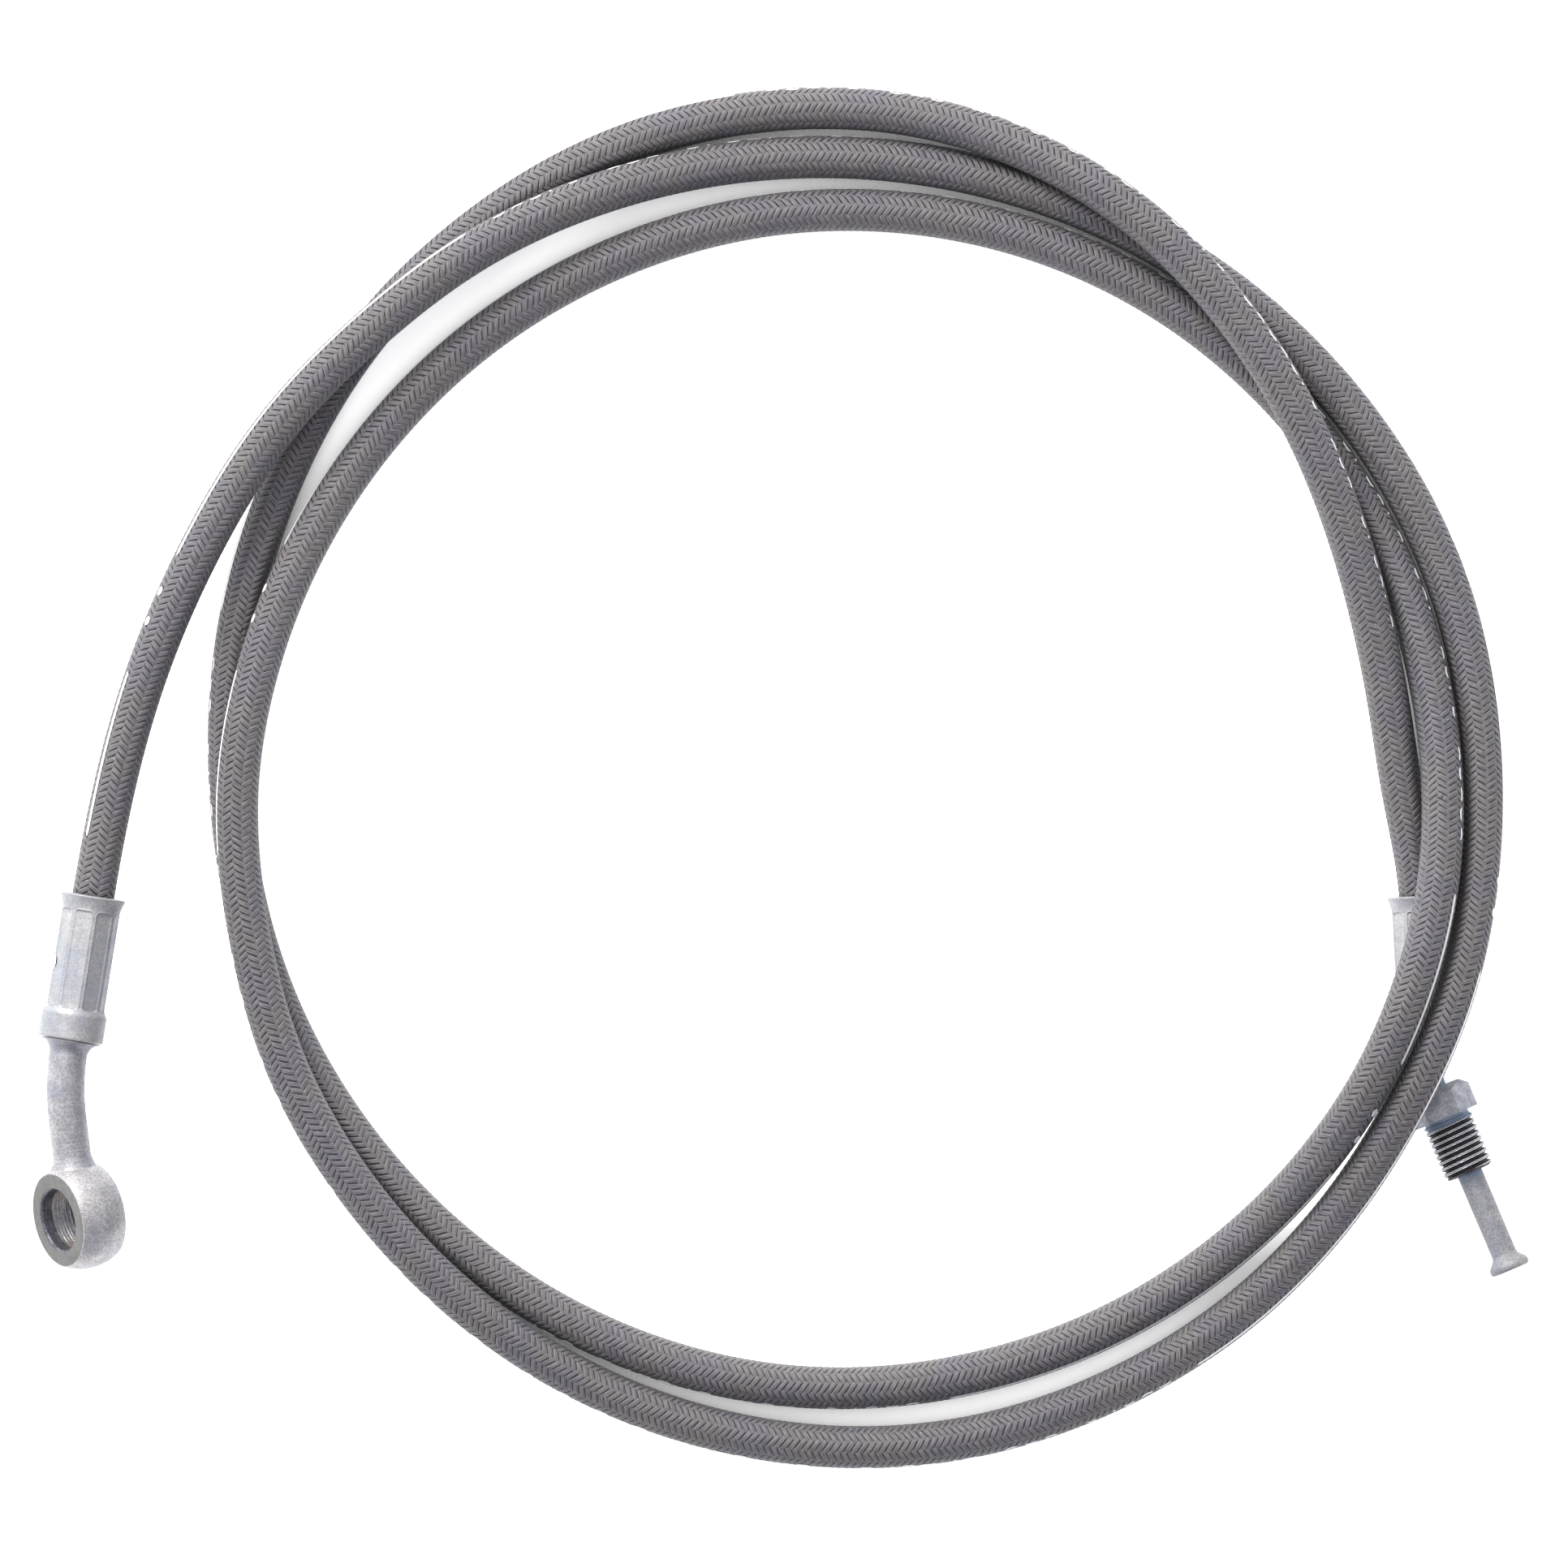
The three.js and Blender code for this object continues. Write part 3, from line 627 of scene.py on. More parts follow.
# Plated finishes: light, dark and patch tones, scale of the mottle, and the range of roughness.
PLATING = {
    "ferrule_zinc": ((0.50, 0.495, 0.505), (0.31, 0.31, 0.325), (0.33, 0.365, 0.45), 330, (0.52, 0.64)),
    "stem_zinc": ((0.49, 0.483, 0.50), (0.24, 0.238, 0.26), (0.29, 0.31, 0.41), 300, (0.48, 0.60)),
    "ball_zinc": ((0.57, 0.56, 0.575), (0.26, 0.255, 0.275), (0.45, 0.41, 0.40), 280, (0.42, 0.54)),
    "eye_face_zinc": ((0.175, 0.175, 0.168), (0.115, 0.115, 0.115), (0.15, 0.155, 0.16), 420, (0.46, 0.56)),
    # The bore's steel, painted dark for the shade inside the bore, with its own tints.
    "bore_steel_painted_shade": ((0.16, 0.165, 0.19), (0.035, 0.035, 0.05), (0.20, 0.18, 0.18), 300, (0.34, 0.46)),
    "groove_steel": ((0.50, 0.50, 0.52), (0.22, 0.22, 0.25), (0.50, 0.36, 0.22), 240, (0.34, 0.48)),
    "tube_zinc": ((0.42, 0.415, 0.42), (0.22, 0.218, 0.23), (0.29, 0.32, 0.39), 420, (0.66, 0.78)),
    "insert_zinc": ((0.50, 0.50, 0.53), (0.40, 0.40, 0.43), (0.38, 0.42, 0.50), 330, (0.52, 0.64)),
    "braze_brass": ((0.72, 0.55, 0.28), (0.50, 0.37, 0.20), (0.45, 0.40, 0.36), 600, (0.52, 0.64)),
    "nut_zinc": ((0.45, 0.46, 0.495), (0.25, 0.26, 0.30), (0.24, 0.33, 0.46), 420, (0.52, 0.62)),
    # Painted highlight: the thread's crests, lighter than the rest of the nut.
    "thread_crest_painted_light": ((0.72, 0.72, 0.75), (0.54, 0.55, 0.58), (0.54, 0.59, 0.68), 500, (0.35, 0.45)),
    # Painted shade: the thread's flanks and roots, near black.
    "thread_groove_painted_shade": ((0.07, 0.07, 0.075), (0.02, 0.02, 0.022), (0.04, 0.045, 0.06), 700, (0.35, 0.6)),
}
PLATED_METAL = 0.6
PATCHES = {"scale": 0.35, "stops": [(0.45, 0.0), (0.65, 0.55)]}
GRAIN = {"scale": 1700.0, "detail": 4.0, "roughness": 0.75, "relief": 0.00005}


def grained(n, colour, dark, amount):
    """Fine dark grain over a colour, and the relief that it gives the surface."""
    grain = n.noise(n.position(), GRAIN["scale"], GRAIN["detail"], GRAIN["roughness"])
    colour = n.mix(n.ramp(grain, [(0.43, amount), (0.54, 0.0)]), colour, dark)
    return colour, n.bump(grain, GRAIN["relief"], 0.8)


def plated(name, marks=None, metal=PLATED_METAL):
    """Satin zinc plating: mottled tone, a faint tint in patches, fine grain, and turning marks."""
    light, dark, tint, scale, (least, most) = PLATING[name]
    n = new_material(name)
    place = n.position()
    mottle = n.noise(place, scale, 4.0, 0.6)
    soft = tuple(0.5 * (a + b) for a, b in zip(dark, light))
    patch = n.ramp(n.noise(place, scale * PATCHES["scale"], 2.0), PATCHES["stops"])
    colour = n.mix(patch, n.ramp(mottle, [(0.32, soft), (0.62, light)]), tint)
    colour, normal = grained(n, colour, dark, 0.7)
    if marks:
        normal = n.bump(turning_marks(n, *marks[:3]), marks[3], 1.0, normal)
    roughness = n.ramp(mottle, [(0.3, most), (0.7, least)])
    return n.finish(base_color=colour, roughness=roughness, normal=normal, metallic=metal)


def turning_marks(n, origin, axis, pitch):
    """Uneven rings round an axis, as a cutting tool leaves them."""
    distance = n.along(origin, axis)
    wave = n.maths("SINE", n.maths("MULTIPLY", distance, 2 * math.pi / pitch))
    rings = n.add("CombineXYZ", (0, n.maths("MULTIPLY", distance, 1 / pitch))).outputs[0]
    return n.maths("MULTIPLY", n.maths("ADD", wave, 1.0), n.noise(rings, 0.9, 2.0))


# --- hose


banjo_axis = heading(BANJO_HEADING)
banjo_base = BANJO_MOUTH + banjo_axis * FERRULE_LENGTH
tube_axis = heading(TUBE_HEADING)
tube_base = TUBE_MOUTH + tube_axis * FERRULE_LENGTH


def ferrule_run(mouth, axis):
    """Straight run of hose inside and just outside a ferrule, from its hidden end outwards."""
    depths = (FERRULE_LENGTH - HOSE_START, FERRULE_LENGTH - HOSE_MIDDLE, -HOSE_LEAD)
    return [mouth + axis * depth for depth in depths]


def coil_point(angle, radius, height=HOSE_RADIUS):
    turn = math.radians(angle)
    x = COIL_CENTRE[0] + radius * math.cos(turn)
    return Vector((x, COIL_CENTRE[1] + radius * math.sin(turn), height))


def hose_line(step):
    """The hose's centreline, without the last few millimetres of each cut end."""
    points = ferrule_run(BANJO_MOUTH, banjo_axis)
    points += [coil_point(*entry) for entry in COIL_ROUTE]
    points += ferrule_run(TUBE_MOUTH, tube_axis)[::-1]
    trim = round(HOSE_TRIM / step)
    return spline(points, step)[trim:-trim]


def tube_layer(line, name, radii, sides, material, slot, node):
    """A hollow layer inside the hose."""
    return hose_piece(hollow_mesh(name, line, *radii, sides), matt(material), 50, slot, node)


def tow_heights(lay, tow, station):
    """How far each tow is lifted along its way: over two crossings, then under two."""
    crossings = station * 2 * TOW_COUNT / STEPS_PER_LEAD
    phase = (2 * tow + crossings) / 4 if lay > 0 else (2 * tow - crossings - 1) / 4
    wave = lay * np.cos(2 * np.pi * phase)
    return TOW_LIFT * np.tanh(3 * wave) / math.tanh(3)


def braid_section(name, line, lay, first, last, material):
    """The twelve tows of one lay over one stretch of the hose, each a flattened strand."""
    centre, side, up, tangent = (part[first : last + 1, None] for part in line_frames(line))
    station = np.arange(first, last + 1)
    pitch_angle = math.atan(2 * math.pi * HOSE_RADIUS / BRAID_LEAD)
    section = np.array([*TOW_SECTION, (0, TOW_BACK)])
    across, raised = section[:, 0] * TOW_WIDTH / 2, section[:, 1]
    middle = HOSE_RADIUS - TOW_LIFT - max(raised)
    shift = -lay * across * math.sin(pitch_angle)
    turn = across * math.cos(pitch_angle) / HOSE_RADIUS
    start = 0.0 if lay > 0 else -math.pi / TOW_COUNT
    helix = lay * 2 * np.pi * station / STEPS_PER_LEAD
    tows = []
    for tow in range(TOW_COUNT):
        angle = helix[:, None] + 2 * np.pi * tow / TOW_COUNT + start + turn[None, :]
        radius = middle + tow_heights(lay, tow, station)[:, None] + raised[None, :]
        out = np.cos(angle)[..., None] * side + np.sin(angle)[..., None] * up
        tows.append(centre + shift[None, :, None] * tangent + radius[..., None] * out)
    mesh = strand_mesh(name, tows)
    tow_maps(mesh, len(station), len(section), pitch_angle)
    return make_object(mesh, material)


def tow_maps(mesh, rings, sides, pitch_angle):
    """Two maps for the tows: millimetres along and across each, and the flat layout for baking."""
    per_tow = (rings - 1) * sides
    quad = np.arange(TOW_COUNT * per_tow)
    tow, ring, edge = quad // per_tow, quad % per_tow // sides, quad % sides
    step = BRAID_LEAD / STEPS_PER_LEAD / math.cos(pitch_angle) * 1000
    ring_at = ring[:, None] + np.array([0, 0, 1, 1])
    edge_at = edge[:, None] + np.array([0, 1, 1, 0])
    along = ring_at * step + TOW_MAP_SHIFT * tow[:, None]
    across = np.stack([along, edge_at * 1.0], -1).reshape(-1, 2)
    per_row = math.ceil((rings - 1) / BAKE_ROWS)
    row = tow * BAKE_ROWS + ring // per_row
    u = (ring_at - (ring // per_row * per_row)[:, None]) / per_row
    filled = BAKE_MARGIN + (1 - 2 * BAKE_MARGIN) * np.array(BAKE_SHARES)[edge_at]
    v = (row[:, None] + filled) / (TOW_COUNT * BAKE_ROWS)
    layout = np.stack([u, v], -1).reshape(-1, 2)
    spare = np.zeros((TOW_COUNT * 2 * sides, 2))
    for name, values in (("tow", across), (BAKE_MAP, layout)):
        data = np.concatenate([values, spare]).astype(np.float32)
        mesh.uv_layers.new(name=name).data.foreach_set("uv", data.ravel())


def route_length_at(line, angles):
    """How far along the line the hose reaches each turn angle."""
    flat = line[:, :2] - np.array(COIL_CENTRE)
    turned_by = np.degrees(np.unwrap(np.arctan2(flat[:, 1], flat[:, 0])))
    if turned_by[0] < 0:
        turned_by += 360
    return np.interp(-np.asarray(angles, float), -turned_by, steps_along(line))


# White print on the hose: lines from one turn angle to another, in degrees, each followed in turn
# by two blobs or by a row of plain marks, which stand where a maker would print.
PRINT_LINES = [(184.6, 171.9), (162.0, 125.7), (13.3, -4.5), (-17.3, -59.8), (-173.0, -189.7),
               (-202.0, -245.0), (-371.2, -387.6), (-399.4, -441.3), (-555.0, -570.0), (-582.0, -620.0)]
BLOB_AFTER = [0.0115, 0.0190]
PRINT_END = -712
MARK_MARGIN = 0.007
MARK_PITCH = 0.0048
MARK_LENGTHS = [3.2, 3.0, 2.8, 0.7, 2.2, 0, 3.1, 3.0, 2.9, 0, 3.0, 0.7, 3.1, 2.9, 0.7, 3.0, 0, 2.8,
                3.1, 0.7, 0, 3.0, 2.9, 0.7, 2.4, 0, 3.2, 3.0]
MARK_BOW = 0.0003
BOWED_LENGTHS = (0.002, 0.004)
# How far the print is turned up from the coil's outside, in degrees, at some turn angles.
PRINT_ANGLE = [(190, 40), (172, 33), (160, 31), (125, 26), (112, 20), (104, 10), (95, 5), (80, 4),
               (50, 8), (13, 9), (-5, 10), (-17, 24), (-60, 28), (-90, 14), (-165, 14), (-190, 20),
               (-215, 16), (-245, 9), (-265, 0), (-290, 1), (-300, 9), (-330, 26), (-371, 30),
               (-388, 29), (-400, 25), (-441, 22), (-460, 14), (-540, 20), (-640, 22), (-725, 30)]
LINE_WIDTH = 0.0008
MARK_WIDTH = 0.00055
BLOB_WIDTH = 0.0016
BLOB_LENGTH = 0.0021
PRINT_THICKNESS = 0.00006
PRINT_CLEARANCE = 0.00004
PRINT_STEP = 0.001


def print_spans(line):
    """Start, end and width of every printed mark along the hose."""
    at = route_length_at(line, [turn for pair in PRINT_LINES for turn in pair] + [PRINT_END])
    spans = []
    for i in range(len(PRINT_LINES)):
        start, end, following = at[2 * i : 2 * i + 3]
        spans.append((start, end, LINE_WIDTH))
        if i % 2 == 0:
            spans += [(end + after, end + after + BLOB_LENGTH, BLOB_WIDTH) for after in BLOB_AFTER]
            continue
        for j in range(int((following - end - 2 * MARK_MARGIN) / MARK_PITCH)):
            mark = end + MARK_MARGIN + j * MARK_PITCH
            length = MARK_LENGTHS[j % len(MARK_LENGTHS)] / 1000
            spans += [(mark, mark + length, MARK_WIDTH)] if length else []
    return spans


def print_strip(frames, along, start, end, angle, width, bow):
    """A thin strip of ink on the hose, as a closed ring of six points at each station."""
    at = np.linspace(start, end, max(7, round((end - start) / PRINT_STEP)) + 1)
    centre, side, up = (
        np.stack([np.interp(at, along, part[:, k]) for k in range(3)], -1)[:, None] for part in frames
    )
    from_end = np.minimum(at - start, end - at) / (width / 2)
    taper = np.sqrt(np.clip(1 - np.clip(1 - from_end, 0, 1) ** 2, 0.06, 1))
    reach = taper[:, None] * np.array([-0.5, 0, 0.5, 0.5, 0, -0.5]) * width / HOSE_RADIUS
    lift = HOSE_RADIUS + np.array([1, 1, 1, -1, -1, -1]) * PRINT_THICKNESS / 2 + PRINT_CLEARANCE
    bowed = bow / HOSE_RADIUS * np.sin(np.pi * (at - start) / (end - start))
    turn = (angle(at) + bowed)[:, None] + reach
    out = np.cos(turn)[..., None] * side + np.sin(turn)[..., None] * up
    return centre + lift[None, :, None] * out


def hose_marking(line):
    """The printed lay line: long and short lines, and rows of plain marks between them."""
    frames, along = line_frames(line)[:3], steps_along(line)
    turn_at = route_length_at(line, [turn for turn, _ in PRINT_ANGLE])
    round_by = np.radians([angle for _, angle in PRINT_ANGLE])

    def angle(at):
        return np.interp(at, turn_at, round_by)

    strips = []
    for i, (start, end, width) in enumerate(print_spans(line)):
        is_bowed = width == MARK_WIDTH and BOWED_LENGTHS[0] < end - start < BOWED_LENGTHS[1]
        bow = MARK_BOW * (-1) ** i if is_bowed else 0
        strips.append(print_strip(frames, along, start, end, angle, width, bow))
    return hose_piece(strand_mesh("hose_marking", strips), matt("marking_white"), 40, "cover_braid")


def make_hose():
    line = hose_line(BRAID_LEAD / STEPS_PER_LEAD)
    core_line = evenly(line, CORE_STEP)
    rubber, *on_hose = [tube_layer(core_line, *layer) for layer in HOSE_LAYERS]
    yarn = yarn_finish()
    edges = np.linspace(0, len(line) - 1, BRAID_SECTIONS + 1).astype(int)
    for i, (first, last) in enumerate(zip(edges[:-1], edges[1:])):
        for lay, letter in ((1, "z"), (-1, "s")):
            piece = braid_section(f"cover_braid_{letter}_{i + 1}", line, lay, first, last, yarn)
            on_hose.append(finish_piece(piece, "hose", "cover_braid", "hose_cover_braid"))
    return rubber, core_line, [*on_hose, hose_marking(line)]


hose, hose_path, on_hose = make_hose()

# --- crimped ferrules


def ferrule_outline():
    """Turned sleeve before crimping, from the mouth at 0 to the base."""
    waist, wide, long = WAIST_RADIUS, BASE_RADIUS, FERRULE_LENGTH
    end, inside = long - BASE_BAND, long - SHOULDER
    outline = [(FERRULE_BORE + MOUTH_WALL, 0)]
    for t in np.linspace(0, 1, 7):
        radius = waist + (MOUTH_RADIUS - waist) * (1 - t) ** 2
        outline.append((radius, MOUTH_LIP + (MOUTH_FLARE - MOUTH_LIP) * t))
    outline += [
        (waist, end), (wide, end + BAND_RISE), (wide, long), (SHOULDER_BORE, long),
        (SHOULDER_BORE, inside), (FERRULE_BORE, inside), (FERRULE_BORE, BORE_LEAD),
    ]
    return refined(rounded(outline, FERRULE_EASE), FERRULE_SPACING)


def rounded_box_distance(x, y, half_x, half_y, corner):
    """Distance outside a rounded rectangle about the origin, negative within it."""
    qx = np.abs(x) - half_x + corner
    qy = np.abs(y) - half_y + corner
    outside = np.hypot(np.maximum(qx, 0), np.maximum(qy, 0))
    return outside + np.minimum(np.maximum(qx, qy), 0) - corner


def smooth(value, low, high):
    t = np.clip((value - low) / (high - low), 0, 1)
    return t * t * (3 - 2 * t)


def crimped(points, is_outer):
    """Presses the eight flats into the sleeve, each with a fine raised edge."""
    x, y, z = points.T
    radius, angle = np.hypot(x, y), np.arctan2(y, x)
    low = MOUTH_FLARE - CRIMP_PAST_WAIST[0]
    high = FERRULE_LENGTH - BASE_BAND + CRIMP_PAST_WAIST[1]
    pitch = 2 * np.pi / CRIMP_COUNT
    off = (angle - math.radians(CRIMP_TURN) + pitch / 2) % pitch - pitch / 2
    across, height = off * WAIST_RADIUS, z - (low + high) / 2
    far = rounded_box_distance(across, height, CRIMP_WIDTH / 2, (high - low) / 2, CRIMP_CORNER)
    flat = (WAIST_RADIUS - CRIMP_DEPTH) / np.cos(off)
    inside = 1 - smooth(far, *CRIMP_EASE)
    rim = np.exp(-((far - CRIMP_RIM["at"]) / CRIMP_RIM["width"]) ** 2) * CRIMP_RIM["height"]
    pressed = radius + (np.minimum(flat, radius) - radius) * inside + rim
    return np.where(is_outer, pressed, radius), angle, z


def ferrule(name, mouth, axis, hole_turn, node):
    """A crimped sleeve with a blind witness hole, painted near black for the shade inside it."""
    outline = ferrule_outline()
    is_outer = np.repeat(outline[:, 0] > WAIST_RADIUS - OUTER_SKIN, FERRULE_SIDES)
    radius, angle, z = crimped(turned(outline, FERRULE_SIDES), is_outer)
    wrapped = (angle - math.radians(hole_turn) + np.pi) % (2 * np.pi) - np.pi
    away = np.hypot(wrapped * WAIST_RADIUS, z - WITNESS_HOLE["at"])
    size, edge = WITNESS_HOLE["radius"], WITNESS_HOLE["edge"]
    hole = is_outer * (1 - smooth(away, size - edge, size + edge))
    radius = radius - hole * WITNESS_HOLE["depth"]
    local = np.stack([radius * np.cos(angle), radius * np.sin(angle), z], -1)
    quads = ring_quads(len(outline), FERRULE_SIDES, True)
    mesh = make_mesh(name, placed(local, placement(mouth, axis)), quads)
    piece = make_object(mesh, ferrule_steel, hole_painted_shade)
    show_parts(mesh, (hole[quads].max(1) > 0.3).astype(np.int32), 40)
    return finish_piece(piece, "hose", "ferrule_steel", node)


ferrule_steel = plated("ferrule_zinc")
hole_painted_shade = matt("hole_painted_shade")
banjo_sleeve = ferrule("banjo_end_ferrule", BANJO_MOUTH, banjo_axis, BANJO_HOLE_TURN, "banjo_ferrule")
tube_sleeve = ferrule("tube_end_ferrule", TUBE_MOUTH, tube_axis, TUBE_HOLE_TURN, "tube_ferrule")

# --- banjo fitting


def eye_centre():
    """The ball rests on the floor on the rim of its lower face."""
    rim = math.sqrt(BALL_RADIUS**2 - EYE_HALF**2)
    centre = banjo_base + banjo_axis * STEM_APEX + heading(BANJO_HEADING + STEM_TURN) * STEM_STRAIGHT
    centre.z = EYE_HALF * abs(EYE_AXIS.z) + rim * math.sqrt(1 - EYE_AXIS.z**2)
    return centre


ball_centre = eye_centre()
stem_bend = banjo_base + banjo_axis * STEM_APEX
stem_axis = (ball_centre - stem_bend).normalized()


def stem_line(start, end, step):
    bend_in = stem_bend.lerp(banjo_base, STEM_BEND[0])
    bend_out = stem_bend.lerp(ball_centre, STEM_BEND[1])
    return bend_line(start, bend_in, stem_bend, bend_out, end, step)


def eye_outline():
    """Cut ball with a chamfered bore and a stepped oil groove, about the bore's axis."""
    slope = math.asin((EYE_HALF - EYE_EDGE) / BALL_RADIUS)
    face = math.sqrt(BALL_RADIUS**2 - EYE_HALF**2) - FACE_LIP
    arc = [(BALL_RADIUS * math.cos(t), BALL_RADIUS * math.sin(t)) for t in np.linspace(-slope, slope, 26)]
    g, lip = OIL_GROOVE, EYE_BORE + EYE_CHAMFER
    wide, ease = g["half"] + g["slope"], g["ease"]
    half_bore = [
        (lip, EYE_HALF), (EYE_BORE, EYE_HALF - EYE_CHAMFER), (EYE_BORE, wide + ease),
        (g["step"], wide), (g["step"], g["half"]), (g["radius"], g["half"] - ease),
    ]
    bore = half_bore + [(r, -z) for r, z in reversed(half_bore)]
    return [(face, -EYE_HALF), *arc, (face, EYE_HALF), *bore]


def tail_radius(depth):
    """Barbed tail inside the hose, then the neck through the ferrule's shoulder."""
    if depth > -TAIL_NECK[1]:
        return TAIL_NECK[0]
    barb = (depth % BARB["pitch"]) / BARB["pitch"]
    return TAIL_RADIUS + BARB["height"] * (1 - barb)


def stem_radius(depth, from_ball):
    """Radius of the fitting at a distance past the ferrule's base."""
    if depth < COLLAR["start"]:
        return tail_radius(depth)
    if depth < COLLAR["length"]:
        return COLLAR["radius"]
    fillet = min(1, (depth - COLLAR["length"]) / COLLAR["fillet"])
    radius = STEM_RADIUS + (COLLAR["radius"] - STEM_RADIUS) * (1 - math.sqrt(1 - (1 - fillet) ** 2))
    near = min(1, max(0, 1 - (from_ball - BALL_SWELL["start"]) / BALL_SWELL["reach"]))
    return radius + BALL_SWELL["height"] * near**2


def stem_mesh():
    """Tail, collar and bent stem, ending inside the ball's wall, with uneven tool marks."""
    line = stem_line(banjo_base - banjo_axis * TAIL_LENGTH, ball_centre - stem_axis * STEM_END, STEM_STEP)
    along = steps_along(line)
    from_ball = np.linalg.norm(line - np.array(ball_centre), axis=1)
    radii = np.array([stem_radius(a - TAIL_LENGTH, f) for a, f in zip(along, from_ball)])
    marks = np.random.default_rng(5).normal(0, 1, len(line))
    marks = np.convolve(marks, [0.25, 0.5, 0.25], "same")
    near = np.exp(-((from_ball - TOOL_MARKS["at"]) / TOOL_MARKS["spread"]) ** 2)
    marks = marks * (near * TOOL_MARKS["depth"] + TOOL_MARKS["least"])
    marks = np.where(along > TAIL_LENGTH + COLLAR["length"], marks, 0)
    return swept_mesh("stem", line, radii + marks, 96)


def passage_mesh():
    """Drilled way from the eye's bore through the stem and the tail."""
    reach = TAIL_LENGTH + PASSAGE["past"]
    line = stem_line(banjo_base - banjo_axis * reach, ball_centre, PASSAGE["step"])
    radii = np.where(steps_along(line) < reach, TAIL_PASSAGE, STEM_PASSAGE)
    return swept_mesh("passage", line, radii, 32)


def facing_mesh(sign):
    """What a facing cut takes off one side of the eye."""
    core, wide, low, high = FACING["core"], FACING["radius"], EYE_HALF, EYE_HALF + FACING["depth"]
    outline = [(core, low), (wide, low), (wide + FACING["flare"], high), (core, high)]
    place = placement(ball_centre, EYE_AXIS * sign)
    return turned_mesh("facing", rounded(outline, FACING["ease"]), 96, place)


def banjo_parts(mesh):
    """Material index of each face: 0 stem, 1 ball, 2 eye face, 3 bore, 4 oil groove."""
    offset, height = face_places(mesh, ball_centre, EYE_AXIS)
    away = np.linalg.norm(offset, axis=1)
    radial = np.sqrt(np.maximum(away**2 - height**2, 0))
    height = np.abs(height)
    near_ball = (radial < BALL_RADIUS) & (away < BALL_RADIUS + PART_MARGIN)
    inside = (radial < OIL_GROOVE["radius"] + PART_MARGIN) & (height < EYE_HALF - 0.00003)
    part = np.zeros(len(away), np.int32)
    part[away < BALL_RADIUS + 0.00008] = 1
    part[(height > EYE_HALF - 0.00005) & near_ball] = 2
    part[inside] = 3
    part[inside & (height < OIL_GROOVE["half"] + OIL_GROOVE["slope"])] = 4
    return part


def banjo_fitting():
    """Eye, stem and tail in one piece. Marks: origin, axis, pitch and depth."""
    outline = rounded(eye_outline(), 0.00012, 3)
    eye = turned_mesh("banjo_eye_and_stem", outline, 160, placement(ball_centre, EYE_AXIS))
    piece = make_object(
        eye,
        plated("stem_zinc", (stem_bend, stem_axis, 0.00031, 0.000012)),
        plated("ball_zinc", (ball_centre, stem_axis, 0.00040, 0.000024)),
        plated("eye_face_zinc"),
        # The bore's plating, painted dark for its shade.
        plated("bore_steel_painted_shade"),
        plated("groove_steel", (ball_centre, EYE_AXIS, 0.00085, 0.00014), 0.8),
    )
    boolean(piece, stem_mesh(), "UNION")
    for cutter in (facing_mesh(1), facing_mesh(-1), passage_mesh()):
        boolean(piece, cutter, "DIFFERENCE")
    show_parts(piece.data, banjo_parts(piece.data), 32)
    return finish_piece(piece, "hose", "fitting_steel", "banjo_fitting")


banjo = banjo_fitting()

# --- steel tube end


nut_axis = heading(TUBE_LINE_HEADING)
nut_top = Vector((*TUBE_LINE, TUBE_MOUTH.z))


def towards_end(at, end, reach):
    """0 until a short reach before the end, and then rising to 1 there."""
    return np.clip(1 - (end - at) / reach, 0, 1)


def flare_radius(at):
    """Outside radius of the tube near its flared end."""
    start = FLARE_AT - FLARE["length"] - FLARE["lead"]
    ramp = smooth(np.asarray(at), start, FLARE_AT - FLARE["rim"])
    return TUBE_OUTER + (FLARE["radius"] - TUBE_OUTER) * ramp ** FLARE["power"]


def tint_near_nut(material):
    """Blue tint in streaks where the tube leaves the nut, to so many millimetres from its top."""
    n = Nodes(material)
    at = n.maths("MULTIPLY", n.along(nut_top, nut_axis), 1000.0)
    streaks = n.maths("MULTIPLY", n.noise(n.position(), BLUE_BESIDE_NUT["scale"], 2.0), BLUE_BESIDE_NUT["uneven"])
    reach = n.maths("SUBTRACT", BLUE_BESIDE_NUT["reach"], n.maths("ADD", at, streaks))
    amount = n.maths("MINIMUM", n.maths("MAXIMUM", reach, 0.0), 1.5)
    amount = n.maths("MULTIPLY", amount, BLUE_BESIDE_NUT["strength"])
    plain = n.tree.nodes["Principled BSDF"].inputs["Base Color"].links[0].from_socket
    return n.finish(base_color=n.mix(amount, plain, BLUE_BESIDE_NUT["colour"]))


def end_tube():
    """One closed sweep: out along the tube's outside, round the flare's lip and back up its bore."""
    line = bend_line(
        tube_base + tube_axis * TUBE_START, tube_base + tube_axis * BEND_START,
        tube_base + tube_axis * BEND_APEX, nut_top - nut_axis * 0.0004,
        nut_top + nut_axis * FLARE_AT, 0.00025,
    )
    at = (line - np.array(nut_top)) @ np.array(nut_axis)
    outer = np.where(at > 0, flare_radius(at), TUBE_OUTER)
    outer = outer - TUBE_LIP * towards_end(at, FLARE_AT, TUBE_LIP) ** 2
    uneven = np.convolve(np.random.default_rng(11).normal(0, 1, len(line)), np.ones(9) / 9, "same")
    lead, reach = TUBE_MOUTH_LEAD
    inner = TUBE_INNER + lead * towards_end(at, FLARE_AT, reach)
    mesh = hollow_mesh("flared_end_tube", line, outer + uneven * TUBE_UNEVEN, inner, 72)
    return hose_piece(mesh, tint_near_nut(plated("tube_zinc")), 40, "tube_steel", "end_tube")


